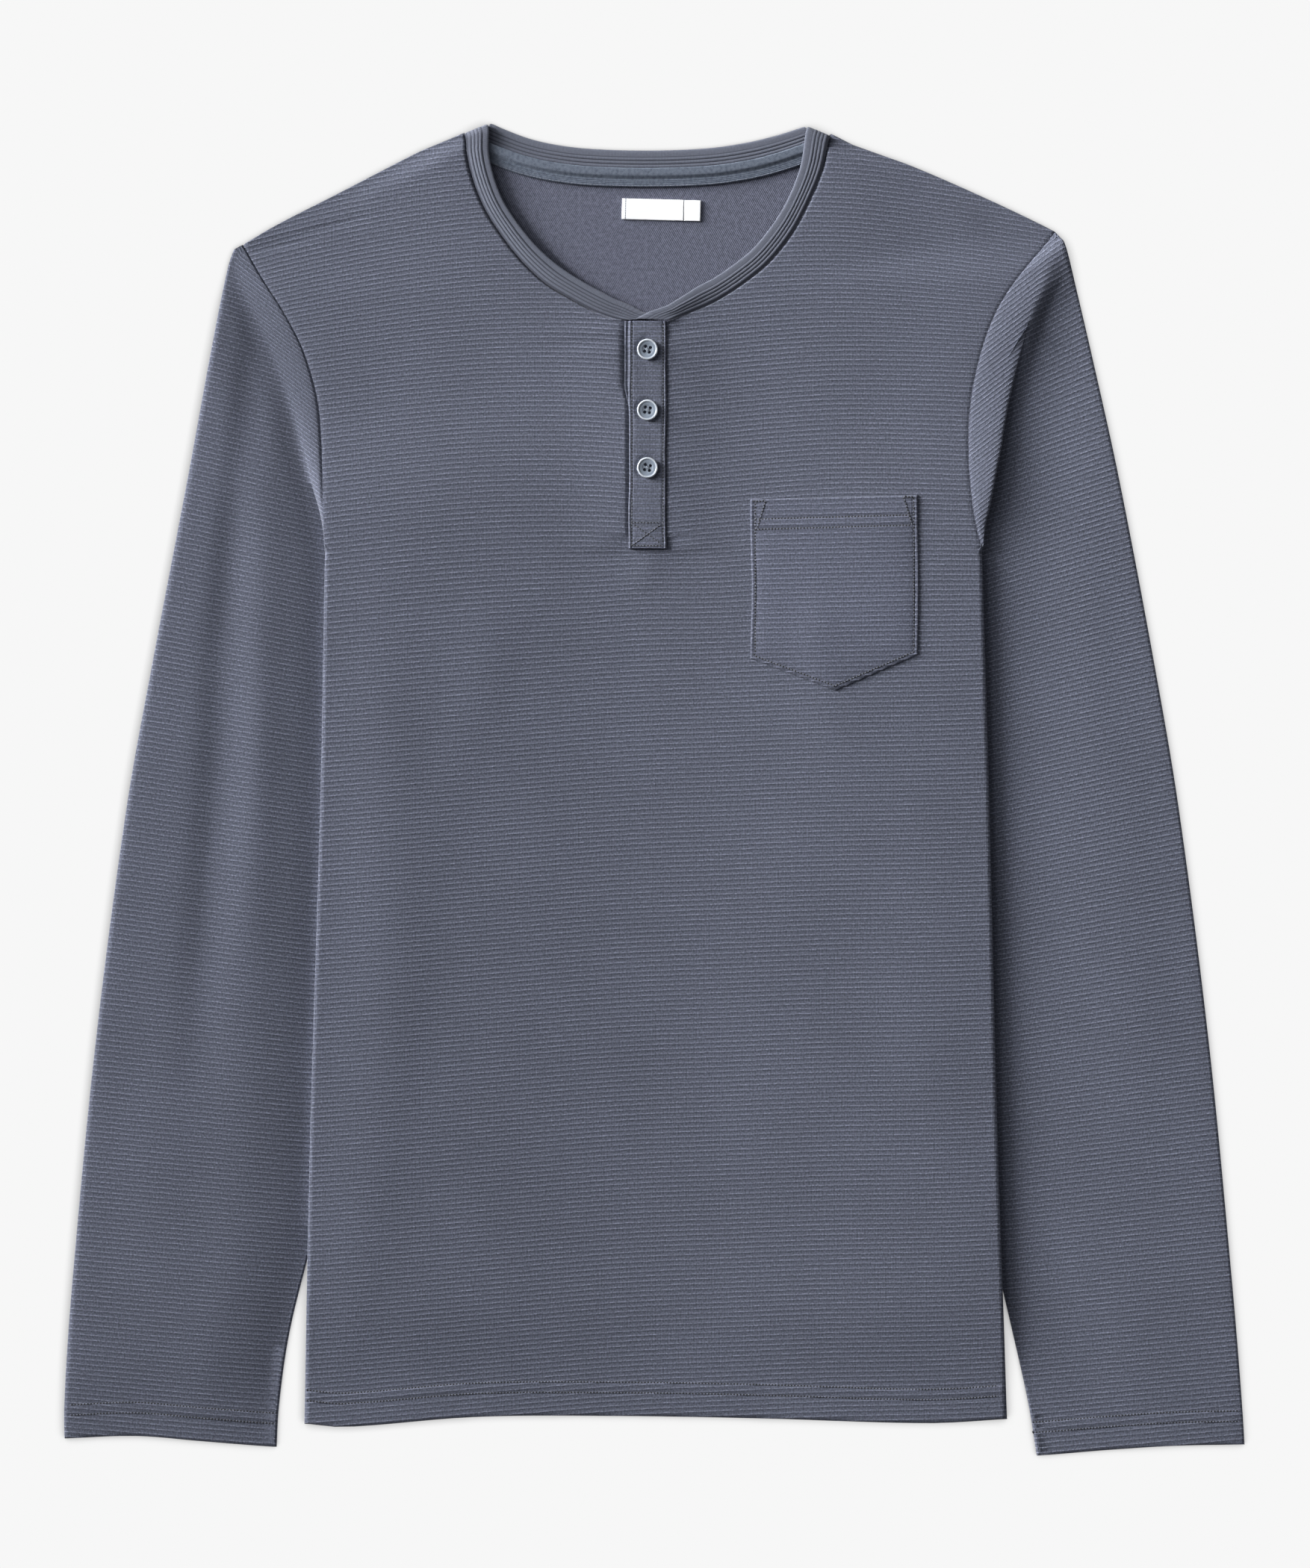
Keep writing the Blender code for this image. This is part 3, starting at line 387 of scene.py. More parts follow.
def rib_rows(low, high):
    """The rib values of the rows of points of a piece, an even number of ribs from low up."""
    first = math.floor(low / RIB_PITCH)
    count = 2 * math.ceil(0.5 * (high / RIB_PITCH - first))
    found = [(first + k + phase) * RIB_PITCH for k in range(count) for phase in RIB_PHASES]
    return np.array(found + [(first + count) * RIB_PITCH])


def rib_relief(rib):
    phase = np.mod(rib / RIB_PITCH + 1e-7, 1.0)
    return np.interp(phase, RIB_PHASES + (1.0,), RIB_HEIGHTS + (RIB_TOP,))


# How many degrees the ribs rise towards the right at places across the waist, chest and
# shoulders.
RIB_LEAN_WAIST = (
    (-200.0, 4.2), (-146.0, 5.3), (-48.0, 5.0), (-14.0, 3.4), (18.0, 2.0), (50.0, 2.7),
    (83.0, 2.2), (116.0, 0.9), (150.0, 1.4), (200.0, 4.5),
)
RIB_LEAN_CHEST = (
    (-230.0, 9.0), (-146.0, 6.8), (-113.0, 4.8), (-80.0, 1.8), (-48.0, -1.2), (-14.0, -5.5),
    (6.0, 6.3), (50.0, 5.6), (83.0, 4.0), (116.0, -0.4), (149.0, -1.6), (230.0, -4.0),
)
RIB_LEAN_SHOULDER = (
    (-230.0, 16.0), (-190.0, 13.0), (-146.0, 10.0), (-113.0, 7.0), (-80.0, 3.0), (-48.0, -1.2),
    (-14.0, -5.5), (6.0, 6.3), (50.0, 4.6), (83.0, 1.0), (116.0, -5.5), (149.0, -8.0),
    (190.0, -9.0), (230.0, -9.0),
)


def climb(leans, x):
    """How far a rib line that leans by the given degrees has risen at x since the placket."""
    across = np.linspace(-240.0, 240.0, 481)
    slope = np.tan(np.radians(np.interp(across, *zip(*leans))))
    risen = np.concatenate(([0.0], np.cumsum(0.5 * (slope[1:] + slope[:-1]))))
    return np.interp(x, across, risen) - np.interp(PLACKET_X, across, risen)


def body_y(x, rib):
    """The height of a rib line of the body at x."""
    arch = 2.2 * bell(x - PLACKET_X, 24.0) * eased((rib - 50.0) / 60.0) * eased((136.0 - rib) / 14.0)
    risen = mixed(climb(RIB_LEAN_WAIST, x), climb(RIB_LEAN_CHEST, x), eased((rib - 40.0) / 140.0))
    return rib + mixed(risen, climb(RIB_LEAN_SHOULDER, x), eased((rib - 215.0) / 110.0)) + arch


def rib_at(height_of, y, rounds):
    """The rib value whose line passes at y, where height_of(rib) is the height of a line."""
    rib = np.array(y, float)
    for _ in range(rounds):
        rib = rib - (height_of(rib) - y)
    return rib


def body_rib(x, y):
    return rib_at(lambda rib: body_y(x, rib), y, 6)


# The neckline follows the neckband's seam. Each of its stations gives the seam end of a section
# of the band, its lean and width, its middle height, how much its ribs show and its turn over
# the shoulder.
FRONT_MID = 4.85
BACK_MID = 1.05
Station = namedtuple("Station", "x y lean width mid rib turn", defaults=(FRONT_MID, 1.0, 0))
FRONT_LEFT_BAND = (
    Station(-16.2, 257.4, 4, 19.0, 4.5, 0.0),
    Station(-18.5, 257.6, 24, 11.5, 4.6, 0.3),
    Station(-22.0, 257.9, 66, 10.2, 4.7, 0.8),
    Station(-32.7, 261.7, 62, 11.3),
    Station(-46.0, 268.7, 57, 11.5),
    Station(-60.1, 277.4, 53, 12.0),
    Station(-73.2, 289.7, 45, 11.6),
    Station(-84.8, 304.5, 34, 11.2),
    Station(-93.5, 318.5, 27, 11.1),
    Station(-99.7, 333.5, 20, 11.6),
    Station(-103.3, 348.0, 12, 12.3),
)
LEFT_PEAK = Station(-103.9, 357.6, 23, 13.8, rib=0.6)
BACK_BAND = tuple(
    Station(*place, BACK_MID, 0.8 if at_end else 1.0, 180) for at_end, *place in (
        (True, -98.6, 355.4, 50, 13.4), (False, -88.6, 351.0, 66, 13.0), (False, -72.6, 345.2, 75, 12.8),
        (False, -56.6, 341.5, 82, 12.8), (False, -36.6, 339.1, 87, 12.8), (False, -3.3, 338.2, 90, 12.7),
        (False, 30.0, 339.4, 94, 12.8), (False, 52.5, 342.6, 100, 12.8), (False, 69.0, 346.9, 108, 12.4),
        (False, 82.0, 351.4, 115, 12.0), (True, 90.6, 355.0, 132, 12.0),
    )
)
RIGHT_PEAK = Station(95.7, 356.3, 157, 13.4, rib=0.6)
FRONT_RIGHT_BAND = (
    Station(92.0, 339.5, 162, 12.0),
    Station(84.2, 321.0, 154, 11.0),
    Station(75.2, 304.5, 148, 11.4),
    Station(62.4, 288.5, 136, 11.5),
    Station(49.3, 277.7, 127, 11.5),
    Station(37.3, 269.7, 119, 11.5),
    Station(28.5, 265.0, 115, 11.6, 5.0),
    Station(22.7, 262.6, 116, 10.4, 5.35, 0.95),
    Station(17.0, 260.3, 118, 9.3, 5.7, 0.9),
    Station(14.6, 259.4, 137, 9.0, 5.9, 0.7),
    Station(12.5, 258.7, 155, 11.2, 6.1, 0.5),
    Station(10.7, 258.0, 164, 13.9, 6.25, 0.3),
    Station(8.9, 257.4, 178, 19.0, 6.4, 0.0),
)


def lengths_along(points):
    """How far along a line each of its points lies."""
    return np.concatenate(([0.0], np.cumsum(np.linalg.norm(np.diff(points, axis=0), axis=1))))


def smooth_run(stations, spacing, measured=(0, 1)):
    """Points on a smooth curve through stations, about evenly spaced, with all their values."""
    values = np.array(stations, float)
    along = lengths_along(values[:, measured])
    at = np.linspace(0.0, along[-1], round(along[-1] / spacing) + 1)
    return at, np.stack([curve_through(np.stack((along, column), 1), at) for column in values.T], 1)


def front_neckline(side):
    """(x, y) points of the front neckline from the placket up to the shoulder."""
    stations = {"left": FRONT_LEFT_BAND + (LEFT_PEAK,), "right": FRONT_RIGHT_BAND[::-1] + (RIGHT_PEAK,)}
    return smooth_run(stations[side], 1.5)[1][:, :2]


def back_neckline(side):
    """Those of the back neckline, from its middle out."""
    middle = len(BACK_BAND) // 2
    stations = BACK_BAND[middle::-1] if side == "left" else BACK_BAND[middle:]
    return smooth_run(stations, 1.5)[1][:, :2]


def fold_sweep(y):
    """How far a side fold has turned under at a height."""
    return math.pi * eased((FOLD_TOP_Y - y) / (FOLD_TOP_Y - FOLD_FULL_Y))


def fold_start(side, y):
    """How far out the cloth starts to turn under."""
    return outline(BODY_EDGE, side, y) - FRONT_OUTER_R * np.sin(np.minimum(fold_sweep(y), 0.5 * math.pi))


def panel_outline(side, top_y):
    """(x, y) points of a body panel's outer edge, from below the hem up to the shoulder."""
    low = np.arange(-380.0, FOLD_TOP_Y, 1.0)
    high = np.arange(FOLD_TOP_Y + 0.01, top_y, 1.0)
    out = np.concatenate((fold_start(side, low), panel_edge(side, high)))
    return np.stack((SIGN[side] * out, np.concatenate((low, high))), 1)


def crossing(points, rib):
    """Where the rib lines cross an edge that rises along its points."""
    x, y = np.asarray(points, float).T
    return np.interp(rib, np.maximum.accumulate(body_rib(x, y) + 1e-4 * np.arange(len(x))), x)


INNER_STEPS = (0.0, 0.5, 1.1, 2.0, 3.6, 4.5, 5.6, 8.5)
OUTER_STEPS = (0.0, 0.5, 1.1, 2.0, 3.6)
BODY_CELLS = 16
FOLD_CELLS = 6
MARGIN_CELLS = 5


def across(inner, outer, cells):
    """Columns of points from an inner to an outer edge, closer together beside both."""
    near = np.clip((outer - inner) / 20.0, 0.0, 1.0)
    first = inner[:, None] + np.outer(near, INNER_STEPS)
    last = outer[:, None] - np.outer(near, OUTER_STEPS[::-1])
    share = np.linspace(0.0, 1.0, cells + 1)[1:-1]
    return np.hstack((first, first[:, -1:] + (last[:, :1] - first[:, -1:]) * share, last))


def hem_y(x):
    return curve_through(HEM_LINE, x)


def seam_roll(from_edge, depth, width=1.7):
    """How much cloth sinks where it rolls into a seam."""
    return -depth * (1.0 - eased(from_edge / width))


def rounded(from_edge, radius):
    """How much a folded edge has come down at a distance from it."""
    t = np.clip(1.0 - from_edge / radius, 0.0, 1.0)
    return -radius * (1.0 - np.sqrt(1.0 - t * t))


HEM_STITCHES = (13.0, 18.7)
HEM_DEPTH = 20.0
BACK_HEM_UP = 1.2


def hem_relief(from_hem, stitches, thicker, drawn):
    """The turned-up hem is thicker, and the two rows of stitches are drawn into it."""
    rows = sum(bell(from_hem - row, 0.8) for row in stitches)
    return thicker * eased((HEM_DEPTH - from_hem) / 2.0) - drawn * rows


PLACKET_EDGES = (-14.15, 6.35)
UNDER_SHOWS = 2.5


def under_shows(y):
    """How far the under strip of the placket shows at its left, less and less further down."""
    return mixed(-0.5, UNDER_SHOWS, eased((y - 205.0) / 18.0))


def beside_placket(x, y):
    """How much the front panel rises to stand level with the placket sewn to it."""
    left = PLACKET_EDGES[0] - np.maximum(under_shows(y), 0.0) + 0.2 - x
    right = x - PLACKET_EDGES[1] + 0.9
    beside = np.maximum(eased(left / 1.3), eased(right / 1.8))
    far = 1.0 - eased((np.maximum(left, right) - 2.0) / 34.0)
    ends = eased((y - PLACKET_END_Y + 4.0) / 6.0) * (1.0 - 0.5 * eased((y - 246.0) / 10.0))
    return 1.1 * beside * far * ends


def under_placket(x, y):
    """1 where the placket covers the front panel, and so presses its ribs flat."""
    left = eased((x - PLACKET_EDGES[0] + np.maximum(under_shows(y), 0.0) + 0.7) / 0.7)
    return left * eased((PLACKET_EDGES[1] + 0.7 - x) / 0.7) * eased((y - PLACKET_END_Y + 1.2) / 0.8)


def squared(angle):
    """(across, up) round a pressed fold, which is flatter on top and sharper than a half circle."""
    across, up = np.sin(angle), np.cos(angle)
    return np.abs(across) ** 0.42, np.sign(up) * np.abs(up) ** 0.42


# A sheet of cloth: the points of its face and back, its own coordinates, whether its first and
# last rows get a rim, and which blocks of rows get one along its near and far edges.
Sheet = namedtuple("Sheet", "face back cloth first last near far")
# The hidden side of a cloth piece has one row of points for every so many of its face.
BACK_EVERY = 8


def rib_end(line):
    return float(body_rib(*np.array(line[-1:], float).T)[0])


def body_sheet(side, rib, inner_line, outer_line, is_front, first_open):
    """Half of a body panel: across to its outer edge, round the side fold and in under it."""
    sign = SIGN[side]
    inner, outer = (sign * crossing(line, rib) for line in (inner_line, outer_line))
    capped = np.minimum(rib, min(rib_end(inner_line), rib_end(outer_line)))[:, None]
    out = across(inner, np.maximum(outer, inner), BODY_CELLS)
    x = sign * out
    hem_up = 0.0 if is_front else BACK_HEM_UP * eased((outer[:, None] - out) / 8.0)
    y = np.maximum(body_y(x, capped), hem_y(x) + hem_up)
    base = lift(side, out, y)
    relief = rib_relief(body_rib(x, y))
    from_hem = y - hem_y(x)
    end, end_y = out[:, -1:], y[:, -1:]
    from_outer = end - out
    at_shoulder = (end_y > TIP_Y[side]) & (from_hem > 100.0)
    if is_front:
        drawn = bell(x + 24.0, 18.0) * eased((y - 220.0) / 22.0)
        relief = relief * (1.0 + 0.7 * drawn) * (1.0 - under_placket(x, y))
        back = base + PITCH + front_air(side, out, y) + beside_placket(x, y)
        face = back + WALL + relief + hem_relief(from_hem, HEM_STITCHES, 0.45, 0.28) + rounded(from_hem, 1.1)
        at_armhole = (end_y > FOLD_TOP_Y - 3.0) & (end_y <= TIP_Y[side])
        face += at_armhole * seam_roll(from_outer, 0.3) + at_shoulder * rounded(from_outer, 1.3)
        face += (y[:, :1] > PLACKET_TOP_Y) * seam_roll(out - out[:, :1], 0.9, 1.3)
    else:
        face = base + RIB_TOP - relief - at_shoulder * rounded(from_outer, 1.0)
        back = base + WALL + at_shoulder * rounded(from_outer, 0.8)

    # Round the fold, and the margin beneath.
    sweep = fold_sweep(end_y)
    angle = sweep * np.arange(1, FOLD_CELLS + 1) / FOLD_CELLS
    fully_pressed = squared(angle)
    pressed = eased((sweep - 0.9 * math.pi) / (0.1 * math.pi))
    fold_out = mixed(np.sin(angle), fully_pressed[0], pressed)
    fold_up = mixed(np.cos(angle), fully_pressed[1], pressed)
    middle = lift(side, end, end_y) - 0.5 * GAP
    lean = body_y(sign * end, capped) - body_y(sign * (end - 1.0), capped)
    turned_end = (end + FRONT_OUTER_R * fold_out)[:, -1:]
    full = end_y <= FOLD_FULL_Y
    reach = np.where(full, np.minimum(hidden_armhole(side, end_y), turned_end), turned_end)
    under_out = mixed(turned_end, reach, np.arange(1, MARGIN_CELLS + 1) / MARGIN_CELLS)
    beyond = np.hstack((FRONT_OUTER_R * angle, FRONT_OUTER_R * sweep + turned_end - under_out))
    hem_there = hem_y(sign * np.hstack((np.broadcast_to(end, angle.shape), under_out)))
    turned_y = np.maximum(end_y + lean * beyond, hem_there + BACK_HEM_UP * eased((beyond - 4.0) / 8.0))
    relief = rib_relief(body_rib(sign * end, turned_y - lean * beyond)) - RIB_TOP
    flat = lift(side, under_out, turned_y[:, FOLD_CELLS:]) - 0.5 * GAP
    plain = np.zeros(relief.shape)
    swell = plain
    if is_front:
        facing = np.cos(np.hstack((angle, np.broadcast_to(sweep, under_out.shape))))
        swell = 0.5 * relief * (1.0 - facing) + 0.5 * (relief + RIB_TOP) * (1.0 + facing)
        swell = swell + rounded(turned_y - hem_there, 1.0)
    closed = sweep < 0.02
    turned_y = np.where(closed, end_y, turned_y)
    radii = (FRONT_OUTER_R, FRONT_INNER_R) if is_front else (BACK_INNER_R, BACK_OUTER_R)
    layers = []
    for top, radius, raised in ((face, radii[0], swell), (back, radii[1], plain)):
        arc = middle + (radius + raised[:, :FOLD_CELLS]) * fold_up
        low = np.where(full, flat - radius - raised[:, FOLD_CELLS:], arc[:, -1:])
        turned_z = np.where(closed, top[:, -1:], np.hstack((arc, low)))
        # The face of the front and the back of the back panel keep their own reach.
        turned_out = np.where(closed, end, np.hstack((end + radius * fold_out, under_out)))
        points = (np.hstack((x, sign * turned_out)), np.hstack((y, turned_y)), np.hstack((top, turned_z)))
        layers.append(np.stack(points, 2))
    u = np.hstack((x, sign * (end + beyond)))
    v = np.hstack((body_rib(x, y), body_rib(sign * end, turned_y - lean * beyond)))
    blocks = (len(rib) - 1) // BACK_EVERY
    return Sheet(*layers, np.stack((u, v), 2), True, True, range(first_open, blocks), range(blocks))


def mapped(data, cloth):
    """Lays the cloth's own coordinates, in metres across and along, over a mesh."""
    corner = np.empty(len(data.loops), np.int32)
    data.loops.foreach_get("vertex_index", corner)
    layer = data.uv_layers.new(name="cloth")
    layer.data.foreach_set("uv", (MM * cloth.reshape(-1, 2))[corner].reshape(-1).astype(np.float32))


def finished(name, data, *finishes, sharp=55.0):
    """Joins points that fall together, and puts the mesh into a new object."""
    mesh = bmesh.new()
    mesh.from_mesh(data)
    bmesh.ops.remove_doubles(mesh, verts=mesh.verts, dist=1e-6)
    bmesh.ops.dissolve_degenerate(mesh, edges=mesh.edges, dist=1e-7)
    bmesh.ops.recalc_face_normals(mesh, faces=mesh.faces)
    mesh.to_mesh(data)
    mesh.free()
    data.shade_smooth()
    data.set_sharp_from_angle(angle=math.radians(sharp))
    for finish in finishes:
        data.materials.append(finish)
    made = placed(name, data)
    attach(made, "root")
    return made


def quads_of(grid):
    return np.stack((grid[:-1, :-1], grid[:-1, 1:], grid[1:, 1:], grid[1:, :-1]), 2).reshape(-1, 4)


def cloth_shell(name, sheets, finish, plain=None):
    """A closed wall of cloth: the ribbed face of each sheet, its plain back with fewer rows, and
    rims along the first and last rows and the given stretches of the near and far edges."""
    points, cloth, faces, plain_faces = [], [], [], []
    start = 0
    for sheet in sheets:
        rows, columns = sheet.face.shape[:2]
        kept = slice(0, rows, BACK_EVERY)
        backs = len(range(0, rows, BACK_EVERY))
        face = start + np.arange(rows * columns).reshape(rows, columns)
        back = start + rows * columns + np.arange(backs * columns).reshape(backs, columns)
        start += (rows + backs) * columns
        points += [sheet.face.reshape(-1, 3), sheet.back[kept].reshape(-1, 3)]
        cloth += [sheet.cloth.reshape(-1, 2), sheet.cloth[kept].reshape(-1, 2)]
        faces += quads_of(face).tolist()
        backing = quads_of(back)[:, ::-1].tolist()
        plain_faces += range(len(faces), len(faces) + len(backing))
        faces += backing
        for row, wanted in ((0, sheet.first), (-1, sheet.last)):
            if wanted:
                rim = np.stack((face[row, :-1], back[row, :-1], back[row, 1:], face[row, 1:]), 1)
                faces += rim[:, ::(1 if row == 0 else -1)].tolist()
        for column, blocks in ((0, sheet.near), (-1, sheet.far)):
            for k in blocks:
                run = face[k * BACK_EVERY:(k + 1) * BACK_EVERY + 1, column].tolist()
                rim = run + [int(back[k + 1, column]), int(back[k, column])]
                faces.append(rim if column == 0 else rim[::-1])
    data = bpy.data.meshes.new(name)
    data.from_pydata((MM * np.concatenate(points)).tolist(), [], faces)
    mapped(data, np.concatenate(cloth))
    if plain:
        slots = np.zeros(len(faces), np.int32)
        slots[plain_faces] = 1
        data.polygons.foreach_set("material_index", slots)
    return finished(name, data, *[kind for kind in (finish, plain) if kind])


# Knitted cloth is matt, and has little sheen.
MATT = {"Roughness": 0.92, "Specular IOR Level": 0.25, "Sheen Weight": 0.10}


def surfaced(name, look):
    """A new material whose shader has these inputs."""
    material = bpy.data.materials.new(name)
    material.use_nodes = True
    for key, value in look.items():
        material.node_tree.nodes["Principled BSDF"].inputs[key].default_value = value
    return material


def started(name, look):
    """Such a material with its nodes, the cloth's own coordinates, and their x and y."""
    material = surfaced(name, look)
    tree = material.node_tree
    cloth = add(tree, "UVMap", {}, uv_map="cloth").outputs["UV"]
    place = add(tree, "SeparateXYZ", {0: cloth})
    return material, tree, cloth, place.outputs["X"], place.outputs["Y"]


def painted(material, colour, height=None, strength=0.5, depth=0.1):
    """Gives a material its colour and, from a height, a fine relief this deep."""
    tree = material.node_tree
    shader = tree.nodes["Principled BSDF"]
    tree.links.new(colour, shader.inputs["Base Color"])
    if height is not None:
        bump = add(tree, "Bump", {"Height": height, "Strength": strength, "Distance": MM * depth})
        tree.links.new(bump.outputs["Normal"], shader.inputs["Normal"])
    return material


def calc(tree, operation, *values):
    return add(tree, "Math", dict(enumerate(values)), operation=operation).outputs[0]


def wave(tree, place, pitch):
    return calc(tree, "SINE", calc(tree, "MULTIPLY", place, math.tau / (MM * pitch)))


def noise(tree, place, scale, detail=2.0):
    links = {"Vector": place, "Scale": scale, "Detail": detail}
    return add(tree, "TexNoise", links, noise_dimensions="2D").outputs["Fac"]


def ranged(tree, value, low, high, to_low=0.0, to_high=1.0, **settings):
    links = {"Value": value, "From Min": low, "From Max": high, "To Min": to_low, "To Max": to_high}
    return add(tree, "MapRange", links, **settings).outputs[0]


# Rib jersey, knitted from dark and pale blue-grey yarn: matt and slightly hairy. The pale yarn
# shows along each raised rib, brightened there by a painted highlight, and the broad furrows
# between them stay dark, partly as painted shade. The real loops are half a millimetre wide,
# and are drawn 0.9 mm wide so that they show.
LOOP_WIDTH = 0.9
LOOP_LENGTH = 1.1


def rib_jersey(name, dark="4f5361", pale="7d8193"):
    look = {**MATT, "Sheen Weight": 0.12, "Sheen Roughness": 0.6}
    material, tree, cloth, x, y = started(name, look)
    astray = calc(tree, "MULTIPLY_ADD", noise(tree, cloth, 120.0), 0.24, -0.12)
    rib = calc(tree, "MULTIPLY_ADD", y, 1.0 / (MM * RIB_PITCH), astray)
    away = calc(tree, "ABSOLUTE", calc(tree, "SUBTRACT", calc(tree, "FRACT", rib), 0.5))
    # The crest tint is partly the pale yarn and partly a painted highlight along each rib.
    crest_yarn_and_highlight = ranged(tree, away, 0.36, 0.48, interpolation_type="SMOOTHSTEP")
    loops = (1.0 / (MM * LOOP_WIDTH), 1.0 / (MM * LOOP_LENGTH), 1.0)
    stretched = add(tree, "VectorMath", {0: cloth, 1: loops}, operation="MULTIPLY").outputs[0]
    loop = noise(tree, stretched, 1.0)
    yarn_and_painted_highlight = calc(tree, "MULTIPLY", crest_yarn_and_highlight, ranged(tree, loop, 0.3, 0.7, 0.4))
    tint = add(tree, "Mix", {0: yarn_and_painted_highlight, 6: linear(dark), 7: linear(pale)}, data_type="RGBA").outputs[2]
    wales = wave(tree, x, LOOP_WIDTH)
    speckle = noise(tree, cloth, 950.0)
    fine = ranged(tree, speckle, 0.3, 0.7, 0.68, 1.32)
    broad = ranged(tree, noise(tree, cloth, 16.0), 0.3, 0.7, 0.96, 1.04)
    knit = calc(tree, "MULTIPLY_ADD", wales, 0.09, 1.0)
    strength = calc(tree, "MULTIPLY", calc(tree, "MULTIPLY", fine, broad), knit)
    colour = add(tree, "VectorMath", {0: tint, "Scale": strength}, operation="SCALE").outputs[0]
    hairy = calc(tree, "ADD", calc(tree, "MULTIPLY_ADD", wales, 0.35, loop), speckle)
    return painted(material, colour, hairy, 0.55, 0.12)


# Where the shoulder, the neckband and both panels meet.
APEX = {"left": (-104.8, 360.6), "right": (97.0, 360.0)}


def panel_lines(side, neckline, slit_rib):
    """The inner and outer edges of half a panel: up the middle line, round the slit where there
    is one, along the neckline, and the outline up to the shoulder."""
    inner = [(PLACKET_X, -420.0), (PLACKET_X, slit_rib)]
    if slit_rib < PLACKET_TOP_Y:
        beside = PLACKET_X + SIGN[side] * SLIT_HALF
        inner += [(beside, slit_rib + 1.5), (beside, neckline[0][1] - 2.0)]
    inner += [tuple(point) for point in neckline] + [APEX[side]]
    return inner, np.vstack((panel_outline(side, APEX[side][1]), APEX[side]))


body_ribs = rib_rows(-358.0, 366.0)
block_ribs = body_ribs[::BACK_EVERY]
front_open = int(np.searchsorted(block_ribs, FOLD_TOP_Y))
front_sheets = []
for side in SIDES:
    lines = panel_lines(side, front_neckline(side), block_ribs[front_open])
    front_sheets.append(body_sheet(side, body_ribs, *lines, True, front_open))
front = cloth_shell("front_cloth", front_sheets, rib_jersey("rib jersey, front"))
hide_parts("front_panel")

# ------------------------------------------------------------------ back panel
# The same jersey. It shows ribbed from below, and its fine plain side shows inside the neck.
# Its margins lie inside those of the front, and its hem is sewn with the front's.
INSIDE_DARK = linear("383b46")
INSIDE_PALE = linear("75788b")
GRAIN = 0.95
GRAIN_LEAN = math.radians(62.0)


def jersey_inside(name):
    """The plain side of the rib jersey: fine slanting loops, as in a twill, a little paler than
    the face. The loops are drawn 0.95 mm apart, twice their real size, so that they show."""
    material, tree, cloth, x, y = started(name, MATT)
    slant = MM * GRAIN / math.tau
    first = calc(tree, "MULTIPLY", x, math.sin(GRAIN_LEAN) / slant)
    ridge = calc(tree, "SINE", calc(tree, "MULTIPLY_ADD", y, math.cos(GRAIN_LEAN) / slant, first))
    knot = calc(tree, "SINE", calc(tree, "MULTIPLY", y, 1.0 / (0.6 * slant)))
    loops = calc(tree, "MULTIPLY_ADD", knot, 0.45, ridge)
    uneven = calc(tree, "MULTIPLY_ADD", noise(tree, cloth, 520.0), 2.2, loops)
    tint = ramp(tree, ranged(tree, uneven, -0.2, 2.4), INSIDE_DARK, INSIDE_PALE)
    return painted(material, tint, uneven)


back_sheets = []
for side in SIDES:
    neckline = back_neckline(side)
    lines = panel_lines(side, neckline, neckline[0][1] - GAP)
    back_open = int(np.searchsorted(block_ribs, neckline[0][1])) - 1
    back_sheets.append(body_sheet(side, body_ribs, *lines, False, back_open))
back = cloth_shell(
    "back_cloth", back_sheets, rib_jersey("rib jersey, back"), jersey_inside("rib jersey, inside"),
)
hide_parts("back_panel")

# ------------------------------------------------------------------ sleeves
# One piece of the same jersey each, set into the armhole and sewn along its inner edge. The
# cloth beside the armhole lies bent over: in a slope at the left, in a fold at the right.
# The outer edge, and how far out the bent-over strip reaches past the armhole, by height.
SLEEVE_OUTER = (
    (306.0, 226.0, 222.6), (298.0, 230.4, 225.8), (286.0, 234.6, 229.0), (236.0, 244.4, 240.7),
    (171.0, 256.3, 255.0), (72.0, 275.2, 273.9), (-10.0, 289.9, 287.8), (-140.0, 307.0, 304.5),
    (-272.0, 319.8, 317.3), (-338.0, 324.2, 322.7), (-366.0, 324.0, 324.4),
)
STRIP_WIDTH = (
    (306.0, 2.0, 2.0), (284.0, 12.0, 11.0), (260.0, 17.0, 19.5), (228.0, 17.5, 22.0),
    (190.0, 12.0, 18.5), (171.0, 7.4, 14.2), (155.0, 2.9, 9.5), (144.0, 0.9, 5.2), (134.0, 0.6, 1.6),
)
CUFF_EDGE = {
    "left": ((190.0, -361.9), (208.0, -361.6), (250.0, -358.2), (285.0, -355.4), (324.0, -356.8)),
    "right": ((190.0, -366.8), (210.0, -366.4), (250.0, -363.2), (285.0, -361.0), (324.4, -360.2)),
}
